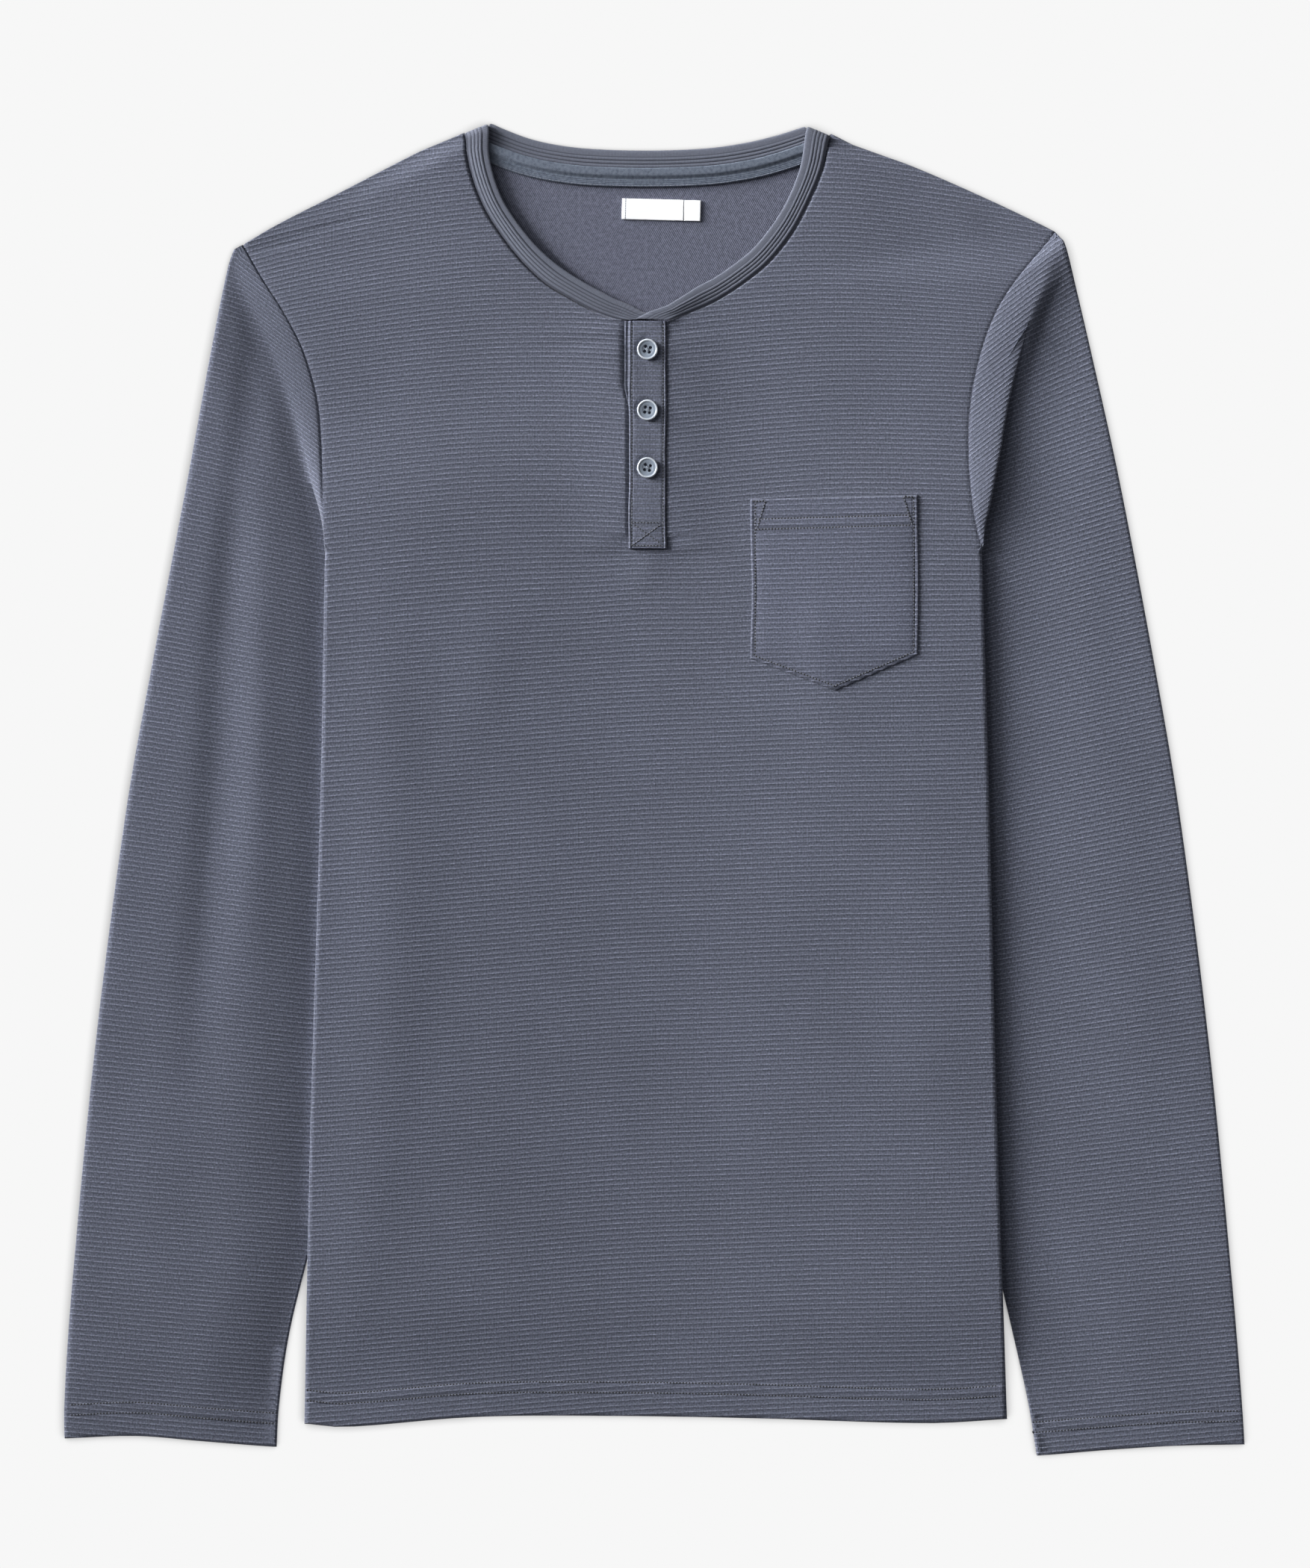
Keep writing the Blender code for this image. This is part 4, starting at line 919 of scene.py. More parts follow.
# How many degrees the ribs rise outwards, by height; and in the bent-over strip.
SLEEVE_LEAN = {
    "left": (
        (-380.0, 4.8), (-239.0, 5.2), (-174.0, 6.0), (-108.0, 7.8), (-42.0, 8.3), (23.0, 9.7),
        (89.0, 12.0), (154.0, 13.3), (306.0, 18.0),
    ),
    "right": (
        (-380.0, 5.4), (-305.0, 5.7), (-239.0, 6.8), (-174.0, 8.2), (-108.0, 10.2), (-42.0, 12.2),
        (23.0, 13.4), (89.0, 15.8), (154.0, 18.2), (187.0, 20.3), (220.0, 25.0), (253.0, 30.0), (306.0, 34.0),
    ),
}
STRIP_LEAN = math.radians(37.0)
LEAN_FROM = 185.0
SLEEVE_FOLDS = {
    "left": (
        Fold(((-217, 272), (-223, 217), (-231, 145), (-237, 74)), 13.0, 18.0, -1.6),
        Fold((
            (-229, 165), (-237, 74), (-239.5, 23), (-242, -10), (-247, -70), (-254, -170),
        ), 14.0, 24.0, -3.0),
        Fold(((-219, 110), (-217, 23), (-222, -90)), 12.0, 14.0, 0.8),
        Fold(((-270, -120), (-276, -210), (-272, -320)), 22.0, 26.0, 0.5),
    ),
    "right": (
        Fold(((246, 60), (262, -60), (268, -200)), 26.0, 24.0, 0.5),
        Fold(((226, -60), (240, -170), (252, -300)), 20.0, 20.0, -0.4),
    ),
}
# The sleeve's face lies this high at least. It rises a little beside the strip, and more over
# the loose top, which starts past a flat stretch.
SLEEVE_LOW = PITCH + WALL
SLEEVE_RISE = {"left": 2.6, "right": 0.9}
SLEEVE_RISE_OVER = {"left": 42.0, "right": 40.0}
SLEEVE_FLAT = {"left": 0.0, "right": 22.0}
START_RISE = {"left": 1.2, "right": 0.35}
START_RISE_OVER = {"left": 16.0, "right": 6.0}
CREST = 1.9
# Where the top edge of each sleeve ends outside, past the tip of the shoulder.
HEAD_END = {"left": (230.6, 296.6), "right": (225.2, 300.4)}
TUBE_R = 0.5 * SLEEVE_LOW
SLEEVE_FROM_Y = -376.0
CUFF_STITCHES = (12.9, 18.6)


def cuff_y(side, out):
    return curve_through(CUFF_EDGE[side], out)


def sleeve_y(side, out, rib):
    """The height of a rib line of a sleeve at a distance out."""
    return rib + np.tan(np.radians(curve_through(SLEEVE_LEAN[side], rib))) * (out - LEAN_FROM)


def sleeve_rib(side, out, y):
    return rib_at(lambda rib: sleeve_y(side, out, rib), y, 10)


def sleeve_crossing(side, out_at, high, rib):
    """How far out the rib lines cross an edge whose distance out is known by height."""
    y = np.arange(SLEEVE_FROM_Y, high, 1.0)
    out = out_at(y)
    ribs = np.maximum.accumulate(sleeve_rib(side, out, y) + 1e-4 * np.arange(len(y)))
    return np.interp(rib, ribs, out)


def seam_out(side, y):
    """The armhole seam, down to where the side fold has fully turned under."""
    turning = fold_start(side, y) + FRONT_OUTER_R * np.sin(fold_sweep(y))
    return np.where(y >= FOLD_TOP_Y, outline(ARMHOLE, side, y), turning)


def seam_out_low(side, y):
    """The line that the sleeve comes out at: the armhole seam and, below it, the side fold."""
    return np.where(y >= FOLD_FULL_Y, seam_out(side, y), fold_start(side, y))


def hidden_out(side, y):
    """Where the sleeve's top layer starts under the body."""
    return np.where(y > UNDERARM_Y, hidden_armhole(side, y), outline(SLEEVE_INNER, side, y) + TUBE_R)


def seam_height(side, y):
    """The height of the panel's face at that seam."""
    edge = outline(ARMHOLE, side, np.maximum(y, FOLD_TOP_Y))
    above = front_top(SIGN[side] * edge, np.maximum(y, FOLD_TOP_Y + 0.01))
    start = fold_start(side, y)
    turning = lift(side, start, y) - 0.5 * GAP + FRONT_OUTER_R * np.cos(fold_sweep(y))
    return np.where(y >= FOLD_TOP_Y, above, turning)


def sleeve_top(side, out, y, start, turn):
    """The height of the sleeve's face, without its ribs, from its start beside the body out."""
    inward = eased((out - start - SLEEVE_FLAT[side]) / SLEEVE_RISE_OVER[side])
    edges = eased((out - start) / 12.0) * eased((turn + 2.0 - out) / 8.0)
    rise = SLEEVE_RISE[side] * inward + edges * folded(SLEEVE_FOLDS[side], SIGN[side] * out, y)
    rise = rise + START_RISE[side] * eased((out - start) / START_RISE_OVER[side])
    rise = rise * eased((TIP_Y[side] - y) / 40.0) * (0.35 + 0.65 * eased((y + 366.0) / 60.0))
    return SLEEVE_LOW + np.maximum(rise, 0.0)


# How deep the cloth rolls into the seam, and into how many cells each stretch is divided.
SLEEVE_SEAM = {"left": 0.8, "right": 0.3}
HIDDEN_CELLS = 3
STRIP_CELLS = 6
BEND_CELLS = 4
MAIN_CELLS = 18
ROUND_CELLS = 6
UNDER_CELLS = 9
RETURN_MOST = 7.0
SEAM_STEPS = np.array((0.5, 1.2, 2.2))
SEAM_SHARES = 0.3 * np.array((0.4, 0.7, 1.0))


def sleeve_sheets(side, rib):
    """The sleeve's cloth from its hidden seam out over the top, round the outer fold and back
    underneath; and below the underarm, round its inner fold."""
    sign, tip = SIGN[side], TIP_Y[side]
    rib = rib[:, None]
    outer = sleeve_crossing(side, lambda y: outline(SLEEVE_OUTER, side, y), tip, rib)

    def strip(y):
        return np.where(y >= FOLD_TOP_Y, outline(STRIP_WIDTH, side, y), 0.5)

    def spaced(a, b, cells, first=0):
        return a + (b - a) * np.arange(first, cells + 1) / cells

    crease = sleeve_crossing(side, lambda y: seam_out_low(side, y) + strip(y), tip, rib)
    crease_y = sleeve_y(side, crease, rib)
    start_y = crease_y
    for _ in range(30):
        aim_y = crease_y - math.tan(STRIP_LEAN) * (crease - seam_out_low(side, start_y))
        start_y = np.minimum(0.5 * start_y + 0.5 * aim_y, tip)
    crease = np.minimum(crease, outer - 2.6)
    start = np.minimum(seam_out_low(side, start_y), crease - 0.2)
    hidden = sleeve_crossing(side, lambda y: hidden_out(side, y), FOLD_TOP_Y, rib)
    at_seam = start_y >= FOLD_FULL_Y
    hidden = np.where(at_seam, start, hidden)
    start = np.where(at_seam, start, np.maximum(start, hidden + 0.6))
    crease = np.maximum(crease, start + 0.4)
    crease_y = np.where(at_seam, crease_y, sleeve_y(side, crease, rib))
    start_y = np.where(at_seam, start_y, sleeve_y(side, start, rib))
    at_seam = start_y >= FOLD_FULL_Y
    hidden_y = np.where(at_seam, start_y, sleeve_y(side, hidden, rib))
    start_z = np.where(at_seam, seam_height(side, start_y), SLEEVE_LOW)
    width = crease - start

    # The strip beside the seam, up to its crease or fold.
    edge_z = sleeve_top(side, outer - 2.0, sleeve_y(side, outer, rib), crease, outer)
    main_start_z = sleeve_top(side, crease, crease_y, crease, outer - 0.5 * edge_z)
    crest_z = base_z = main_start_z
    bend = np.zeros(rib.shape)
    near_tip = 0.95 * eased((start_y - 232.0) / 46.0)
    if side == "right":
        crest_z = start_z + CREST * eased((width - 2.0) / 12.0) * eased((tip - start_y - 8.0) / 60.0)
        base_z = mixed(main_start_z, crest_z, eased((start_y - 188.0) / 48.0))
        bend = np.minimum(eased(width / 6.0), np.maximum(crest_z - base_z, 0.0) / (2.0 * TUBE_R + 0.4))
    slack = np.maximum(base_z - main_start_z, 0.0)
    round_r = 0.5 * edge_z + 0.5 * slack * near_tip
    turn = outer - round_r
    centre = crease - TUBE_R * bend
    beside_seam = start + np.minimum(SEAM_STEPS, width * SEAM_SHARES)
    in_strip = spaced(beside_seam[:, -1:], centre, STRIP_CELLS, 1)
    out = np.hstack((spaced(hidden, start, HIDDEN_CELLS), beside_seam, in_strip))
    share = np.clip((out - start) / np.maximum(width, 0.1), 0.0, 1.0)
    leaning = (start_y + math.tan(STRIP_LEAN) * (out - start))[:, HIDDEN_CELLS + 1:]
    y = np.where(share >= 1.0, crease_y, np.hstack((spaced(hidden_y, start_y, HIDDEN_CELLS), leaning)))
    bulge = 1.0 - (1.0 - share) ** 2 if side == "right" else share * (0.4 + 0.6 * share)
    z = mixed(start_z, crest_z, bulge)
    z[:, :HIDDEN_CELLS + 1] = start_z
    rolled = seam_roll(np.maximum(out - start, 0.0), SLEEVE_SEAM[side])
    z += rolled * (start_y > FOLD_FULL_Y - 4.0)

    # The fold of the bent-over cloth at the right, which closes up to nothing at its ends.
    angle = math.pi * np.arange(0, BEND_CELLS + 1) / BEND_CELLS
    sine, cosine = np.sin(angle[1:]), np.cos(angle[1:])
    small = 0.5 * GAP * bend
    inner_end = centre - np.minimum(RETURN_MOST, 0.4 * width) * eased(bend / 0.3)
    second_z = base_z + 2.0 * small
    short = (1.0 - bend) * WALL

    def bent(parts, otherwise):
        return np.where(bend > 0.0, np.hstack(parts), otherwise)

    bend_out = bent((centre + TUBE_R * bend * sine, inner_end, inner_end - small * sine), crease)
    bend_back_out = bent((centre + small * sine, inner_end, inner_end - (small + WALL * bend) * sine), crease)
    first_z = crest_z - TUBE_R * bend * (1.0 - cosine)
    bend_z = bent((first_z, second_z, base_z + small + small * cosine), crest_z)
    first_back_z = crest_z - TUBE_R * bend + small * cosine - short
    second_back_z = base_z + small + (small + WALL * bend) * cosine - short
    bend_back_z = bent((first_back_z, second_z + WALL, second_back_z), crest_z - WALL)
    bend_y = np.where(bend > 0.0, sleeve_y(side, bend_out, rib), crease_y)
    bend_y[:, :BEND_CELLS] = crease_y

    # The loose top, from there to the outer fold.
    main_out = spaced(np.where(bend > 0.0, inner_end, crease), turn, MAIN_CELLS, 1)
    main_y = sleeve_y(side, main_out, rib)
    over = np.minimum(mixed(10.0, 26.0, near_tip), 0.9 * np.maximum(turn - crease, 1.0))
    falling = 1.0 - eased((main_out - crease) / over)
    main_z = sleeve_top(side, main_out, main_y, crease, turn) + slack * mixed(falling, 1.0, near_tip)

    # Round the outer fold and back underneath.
    sweep = math.pi * np.arange(1, ROUND_CELLS + 1) / ROUND_CELLS
    round_across, round_up = squared(sweep)
    round_out = turn + round_r * round_across
    round_z = round_r * (1.0 + round_up)
    round_back_out = turn + (round_r - WALL) * round_across
    round_back_z = round_r + (round_r - WALL) * round_up
    end = np.where(hidden_y <= UNDERARM_Y, hidden, hidden + 0.4)
    under_out = spaced(turn, end, UNDER_CELLS, 1)
    under_y = sleeve_y(side, under_out, rib)
    near_seam = eased((end + 16.0 - under_out) / 16.0)
    under_z = lift(side, np.maximum(under_out, 1.0), under_y) * near_seam * (start_y > FOLD_TOP_Y)
    for k in range(len(rib)):
        roof = np.interp(under_out[k], main_out[k], main_z[k])
        under_z[k] = np.minimum(under_z[k], np.maximum(roof - 2.0 * WALL - 0.3, 0.0))
    under_y = mixed(under_y, hidden_y, near_seam * (start_y >= FOLD_TOP_Y - 8.0))

    # All of it together, cut off at the cuff and at the top edge, with its ribs and its hem.
    face_out = np.hstack((out, bend_out, main_out, round_out, under_out))
    back_out = np.hstack((out, bend_back_out, main_out, round_back_out, under_out))
    cuff = cuff_y(side, np.minimum(face_out, 324.0))
    y = np.maximum(np.hstack((y, bend_y, main_y, sleeve_y(side, round_out, rib), under_y)), cuff)
    along_strip = np.arange(y.shape[1]) < out.shape[1] + BEND_CELLS
    ribs = np.where(along_strip & (start_y > -300.0), rib, sleeve_rib(side, face_out, y))
    head_out = float(seam_out(side, np.array(tip)))
    head_end, head_end_y = HEAD_END[side]
    along_head = np.clip((face_out - head_out) / (head_end - head_out), 0.0, 1.0)
    y = np.minimum(y, mixed(tip, head_end_y, along_head))
    relief, from_cuff = rib_relief(ribs), y - cuff
    turn_at = out.shape[1] + bend_out.shape[1] + MAIN_CELLS
    facing = np.concatenate((np.ones(turn_at), np.cos(sweep), -np.ones(UNDER_CELLS)))
    raised = relief + hem_relief(from_cuff, CUFF_STITCHES, 0.35, 0.25) + rounded(from_cuff, 0.9)
    face_z = np.hstack((z, bend_z, main_z, round_z, under_z)) + np.clip(facing, 0.0, 1.0) * raised
    face_z += np.clip(-facing, 0.0, 1.0) * (RIB_TOP - relief - rounded(from_cuff, 0.9))
    back_z = np.hstack((z - WALL, bend_back_z, main_z - WALL, round_back_z, under_z + WALL))
    face = np.stack((sign * face_out, y, face_z), 2)
    back = np.stack((sign * back_out, y, back_z), 2)
    steps = np.hypot(np.diff(face_out, axis=1), np.diff(face_z, axis=1))
    u = np.hstack((np.zeros(rib.shape), np.cumsum(steps, axis=1)))
    u = u - u[:, turn_at:turn_at + 1]
    blocks = (len(rib) - 1) // BACK_EVERY
    first_open = next(k for k in range(blocks) if hidden_y[k * BACK_EVERY, 0] > UNDERARM_Y)
    open_blocks = range(first_open, blocks)
    body = Sheet(face, back, np.stack((u, ribs), 2), True, True, open_blocks, open_blocks)

    # The inner fold, for the rows below the underarm.
    rows = slice(0, first_open * BACK_EVERY + 1)
    layers = []
    for layer, radius in ((face, TUBE_R), (back, 0.5 * GAP)):
        fold_x = sign * (hidden[rows] - radius * np.sin(angle))
        low, high = layer[rows, -1:, 2], layer[rows, :1, 2]
        fold_z = low + 0.5 * (high - low) * (1.0 - np.cos(angle))
        layers.append(np.stack(np.broadcast_arrays(fold_x, y[rows, :1], fold_z), 2))
    fold_cloth = np.stack(np.broadcast_arrays(u[rows, -1:] + TUBE_R * angle, ribs[rows, :1]), 2)
    return [body, Sheet(*layers, fold_cloth, True, False, (), ())]


sleeves = {}
for side in SIDES:
    ribs = rib_rows(-378.0, TIP_Y[side] + 6.0)
    material = rib_jersey("rib jersey, " + side + " sleeve")
    sleeve = cloth_shell("sleeve_cloth_" + side, sleeve_sheets(side, ribs), material)
    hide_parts("sleeve_" + side)
    sleeves[side] = sleeve

# ------------------------------------------------------------------ neckband
# One strip of rib folded in half and sewn round the neckline. Its seam and its four raised ribs
# lie outside, its smooth fold inside, and its right-hand end laps over its left-hand end.
BAND_WIDTH = 12.0
BAND_HALF = 0.64
BAND_SINK = 1.25
BAND_RIB_LOW = 0.08
BAND_RIB_SHARE = 0.155
BAND_RIBS_END = BAND_RIB_LOW + 4.0 * BAND_RIB_SHARE
BAND_SHARES = np.concatenate((
    (0.0, 0.03), BAND_RIB_LOW + BAND_RIB_SHARE * np.arange(0.0, 4.01, 1.0 / 6.0),
    (0.75, 0.80, 0.85, 0.89, 0.925, 0.955, 0.98, 1.0),
))
PEAK_TURNS = (0.0, 45.0, 90.0, 135.0, 180.0)


def shifted(station, clear):
    """The station moved in from the seam by a clearance."""
    lean = math.radians(station.lean)
    return station._replace(x=station.x + clear * math.cos(lean), y=station.y + clear * math.sin(lean))


def turned_over(peak, turns):
    """Stations that carry the band round its fold at the top of a shoulder."""
    radius = 0.5 * (FRONT_MID - BACK_MID)
    lean = math.radians(peak.lean)
    found = []
    for turn in turns:
        push = radius * math.sin(math.radians(turn)) * (1.0 if peak.lean < 90 else -1.0)
        middle = BACK_MID + radius * (1.0 + math.cos(math.radians(turn)))
        place = shifted(peak, GAP)
        found.append(place._replace(
            x=place.x - math.sin(lean) * push, y=place.y + math.cos(lean) * push, mid=middle, turn=turn,
        ))
    return found


def band_half(share, rib):
    """Half the thickness of the band at a share of its width."""
    bulge = np.abs(np.sin(math.pi * (share - BAND_RIB_LOW) / BAND_RIB_SHARE)) ** 0.6
    ribbed = 0.60 + 0.30 * bulge * rib
    seam = mixed(0.30, 0.58, eased(share / BAND_RIB_LOW))
    smooth = mixed(0.58, BAND_HALF, eased((share - BAND_RIBS_END) / 0.05))
    half = np.where(share < BAND_RIB_LOW, seam, np.where(share < BAND_RIBS_END, ribbed, smooth))
    return half * (1.0 - np.clip((share - 0.85) / 0.15, 0.0, 1.0) ** 2.4) ** (1.0 / 2.4)


def lofted(name, rings, cloth, *finishes):
    """A closed solid through rings of equally many points, with its two ends filled."""
    count, size = rings.shape[:2]
    grid = np.arange(count * size).reshape(count, size)
    faces = [grid[0].tolist(), grid[-1, ::-1].tolist()]
    grid = np.hstack((grid, grid[:, :1]))
    faces += np.stack((grid[:-1, :-1], grid[1:, :-1], grid[1:, 1:], grid[:-1, 1:]), 2).reshape(-1, 4).tolist()
    data = bpy.data.meshes.new(name)
    data.from_pydata((MM * rings.reshape(-1, 3)).tolist(), [], faces)
    mapped(data, cloth)
    return finished(name, data, *finishes)


stations = [shifted(station, GAP) for station in FRONT_LEFT_BAND] + turned_over(LEFT_PEAK, PEAK_TURNS)
stations += list(BACK_BAND) + turned_over(RIGHT_PEAK, PEAK_TURNS[::-1])
stations += [shifted(station, GAP) for station in FRONT_RIGHT_BAND]
at, sections = smooth_run(stations, 2.0, (0, 1, 4))
x, y, lean, width, middle, rib, turn = sections.T[:, :, None]
lean, turn = np.radians(lean), np.radians(np.clip(turn, 0.0, 180.0))
push = np.sin(turn) * np.where(lean < 0.5 * math.pi, 1.0, -1.0)
half = band_half(BAND_SHARES, rib)
reach = BAND_SHARES * width
pressed = eased((x - 10.0) / 50.0)
sunk = BAND_SINK * (1.0 - 0.85 * pressed) * (1.0 - eased(BAND_SHARES / 0.62)) + 0.8 * pressed
middle = middle - rib * np.maximum(np.cos(turn), 0.0) * sunk
faces_of_band = []
for face in (1.0, -1.0):
    faces_of_band.append(np.stack((
        x + np.cos(lean) * reach - np.sin(lean) * push * half * face,
        y + np.sin(lean) * reach + np.cos(lean) * push * half * face,
        middle + np.cos(turn) * half * face,
    ), 2))
rings = np.concatenate((faces_of_band[0], faces_of_band[1][:, -2::-1]), 1)
share = np.concatenate((BAND_SHARES, BAND_SHARES[-2::-1]))
cloth = np.stack(np.broadcast_arrays(at[:, None], BAND_WIDTH * share), 2)

# Folded rib: fine upright wales across the band, and deep furrows between its raised ribs, darkened with
# painted shade.
BAND_DARK = linear("41444f")
BAND_PALE = linear("636774")
WALE = 0.85


def band_knit(name):
    material, tree, cloth, x, y = started(name, MATT)
    low, high = MM * BAND_WIDTH * BAND_RIB_LOW, MM * BAND_WIDTH * BAND_RIBS_END
    raised = calc(tree, "ABSOLUTE", calc(tree, "SINE", ranged(tree, y, low, high, 0.0, 4.0 * math.pi)))
    beyond = calc(tree, "GREATER_THAN", y, MM * BAND_WIDTH * 0.73)
    # Painted shade: the furrows between the raised ribs are darker.
    furrow_shade = ranged(tree, calc(tree, "MAXIMUM", raised, beyond), 0.1, 0.75)
    knit = calc(tree, "MULTIPLY_ADD", wave(tree, x, WALE), 0.28, noise(tree, cloth, 700.0, 3.0))
    strength = calc(tree, "MULTIPLY", ranged(tree, knit, 0.2, 0.8, 0.62), furrow_shade)
    return painted(material, ramp(tree, strength, BAND_DARK, BAND_PALE), knit, 0.5, 0.12)


band = lofted("neckband_cloth", rings, cloth, band_knit("folded rib"))
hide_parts("neckband")

# ------------------------------------------------------------------ neck tape
# Cotton herringbone tape, sewn over the back neck seam: its upper part lies on the neckband,
# its lower part with its woven ridges on the back panel.
TAPE_UP = 3.0
TAPE_DOWN = 7.5
TAPE_WALL = 1.0
TAPE_RIDGE = 0.95
TAPE_RIDGES_FROM = -3.5
TAPE_THREAD = 0.9
TAPE_DARK = linear("414957")
TAPE_PALE = linear("6a7280")

ends = ((BACK_BAND[0], BACK_BAND[1]), (BACK_BAND[-1], BACK_BAND[-2]))
first, last = (tuple(mixed(a, b, 0.55) for a, b in zip(*pair)) for pair in ends)
sections = smooth_run((first,) + BACK_BAND[1:-1] + (last,), 2.0)[1]
reach = np.concatenate((
    (TAPE_UP, 2.9, 2.6, 2.0, 1.0, 0.0, -1.0, -1.5, -2.0, -2.5, -3.0, -3.3),
    np.arange(TAPE_RIDGES_FROM, -7.2, -0.19), (-7.3, -7.42, -TAPE_DOWN),
))
lean = np.radians(sections[:, 2:3])
base = mixed(PITCH, 2.0 * BACK_MID + GAP, eased((reach + 3.2) / 2.2))
ridges = 0.16 * np.abs(np.sin(math.pi * (reach - TAPE_RIDGES_FROM) / TAPE_RIDGE)) * (reach < TAPE_RIDGES_FROM)
from_edge = np.minimum(TAPE_UP - reach, reach + TAPE_DOWN)
top = base + TAPE_WALL + ridges + rounded(from_edge, 0.45)
sides = []
for height, order in ((top, 1), (base, -1)):
    sides.append(np.stack(np.broadcast_arrays(
        sections[:, 0:1] + np.cos(lean) * reach, sections[:, 1:2] + np.sin(lean) * reach, height[None],
    ), 2)[:, ::order])
cloth = np.stack(np.broadcast_arrays(
    2.0 * np.arange(len(sections))[:, None], np.concatenate((reach, reach[::-1]))[None],
), 2)


def herringbone(name):
    """Woven tape, smoother and bluer than the jersey, whose slanting threads show as fine dashes."""
    material, tree, cloth, x, y = started(name, {"Roughness": 0.8, "Specular IOR Level": 0.3})
    slant = calc(tree, "MULTIPLY_ADD", calc(tree, "PINGPONG", y, 2.0 * MM * TAPE_RIDGE), 1.3, x)
    woven = calc(tree, "MULTIPLY_ADD", wave(tree, slant, TAPE_THREAD), 0.22, noise(tree, cloth, 600.0))
    bright = calc(tree, "MULTIPLY_ADD", ranged(tree, y, MM * -3.2, MM * -1.0), 0.12, woven)
    return painted(material, ramp(tree, bright, TAPE_DARK, TAPE_PALE, 0.15, 0.85), woven)


tape = lofted("neck_tape_cloth", np.concatenate(sides, 1), cloth, herringbone("cotton herringbone tape"))
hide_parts("neck_tape")

# ------------------------------------------------------------------ placket
# Two strips of the jersey, its ribs pressed nearly flat, with folded and topstitched edges. The
# buttonhole side lies above, and is sewn down below the last button with a crossed box.
PLACKET_WALL = 0.95
UNDER_WALL = 0.55
UNDER_ABOVE = 0.2
TOP_ABOVE = 0.95
PLACKET_EDGE = 1.7
BUTTON_Y = (241.1, 207.8, 176.2)
BUTTON_R = 5.7
PLACKET_WIDTH = 20.5
PLACKET_STEPS = np.array((0.0, 0.2, 0.5, 0.9, 1.2, 1.45, PLACKET_EDGE, 1.95, 2.3, 2.9))


def edged(size, steps, cells):
    """Places along a size: the steps beside both ends, and even cells between them."""
    between = np.linspace(steps[-1], size - steps[-1], cells + 1)[1:-1]
    return np.concatenate((steps, between, size - steps[::-1]))


def patch(name, x, y, top, base, cloth, finish):
    """A closed piece of cloth from a grid: its face at the top heights, its back at the base."""
    blocks = range((len(y) - 1) // BACK_EVERY)
    face, back = np.stack((x, y, top), 2), np.stack((x, y, base), 2)
    return cloth_shell(name, [Sheet(face, back, np.stack(cloth, 2), True, True, blocks, blocks)], finish)


def placket_strip(name, left, right, above, wall, finish, buttoned):
    """A strip laid on the front panel, with rolled edges and a groove along its topstitching,
    and pressed in round the buttons."""
    length = PLACKET_TOP_Y - PLACKET_END_Y
    rows = BACK_EVERY * round(length / 6.2)
    y = PLACKET_END_Y + np.concatenate(((0.0, 0.3, 0.7), np.linspace(1.2, length, rows - 2)))
    share, y = np.meshgrid(edged(PLACKET_WIDTH, PLACKET_STEPS, 25) / PLACKET_WIDTH, y)
    sway_left = 0.22 * np.sin(y / 13.0) + 0.12 * np.sin(y / 5.1)
    sway_right = 0.26 * np.sin(y / 17.0 + 1.0) + 0.12 * np.sin(y / 6.3)
    x = mixed(left(y) + sway_left, right + sway_right, share)
    from_side = np.minimum(share, 1.0 - share) * PLACKET_WIDTH
    base = front_top(x, y) + above
    pucker = 0.10 * np.sin(y / 2.3 + 2.0 * np.sin(y / 9.0)) * bell(from_side - PLACKET_EDGE, 1.6)
    drawn = 0.30 * bell(from_side - PLACKET_EDGE, 0.45)
    face = base + wall + rounded(from_side, 0.7) + rounded(y - PLACKET_END_Y, 0.6) - drawn + pucker
    face += 0.07 * bell(from_side - 0.85, 0.5) + 0.5 * rib_relief(y)
    face += 0.10 * np.sin(y / 7.0 + x / 4.0) * np.sin(y / 11.0 - x / 6.0)
    if buttoned:
        for button_y in BUTTON_Y:
            away = np.hypot(x - PLACKET_X, y - button_y)
            face = mixed(base + wall, face, eased((away - 4.2) / 1.2))
            face -= 0.42 * eased((away - 4.9) / 0.7) * (1.0 - eased((away - 6.0) / 2.0))
        face -= 0.30 * bell(x - PLACKET_X, 3.0) * bell(y - BUTTON_Y[0] - 7.6, 1.3)
    return patch(name, x, y, face, base, (x, y), finish)


pressed = rib_jersey("pressed jersey, placket", "515562", "70748a")
placket_under = placket_strip(
    "placket_under_cloth", lambda y: PLACKET_EDGES[0] - under_shows(y), PLACKET_EDGES[1] - 2.0,
    UNDER_ABOVE, UNDER_WALL, pressed, False,
)
placket_top = placket_strip(
    "placket_top_cloth", lambda y: PLACKET_EDGES[0], PLACKET_EDGES[1], TOP_ABOVE, PLACKET_WALL, pressed, True,
)
for strip, node, width in ((placket_under, "placket_under", 0.0195), (placket_top, "placket_top", 0.0212)):
    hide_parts(node)

# ------------------------------------------------------------------ pocket
# A patch pocket of the jersey with a pointed bottom, its edges turned in and topstitched, its
# top hemmed with a twin needle and held at both corners by sewn triangles.
POCKET_LEFT = 52.9
POCKET_RIGHT = 144.4
POCKET_TOP = (158.9, 161.3)
POCKET_POINT = 98.8
POCKET_LOW = ((POCKET_LEFT, 71.3), (POCKET_POINT, 53.9), (POCKET_RIGHT, 73.6))
POCKET_AIR = 0.3
POCKET_WALL = 0.6
POCKET_ABOVE = 0.22
POCKET_EDGE = 2.3
POCKET_LEAN = math.tan(math.radians(1.3))
POCKET_HEMS = (11.0, 16.6)


def pocket_low_y(x):
    return np.interp(x, *zip(*POCKET_LOW))


def pocket_top_y(x):
    return np.interp(x, (POCKET_LEFT, POCKET_RIGHT), POCKET_TOP)


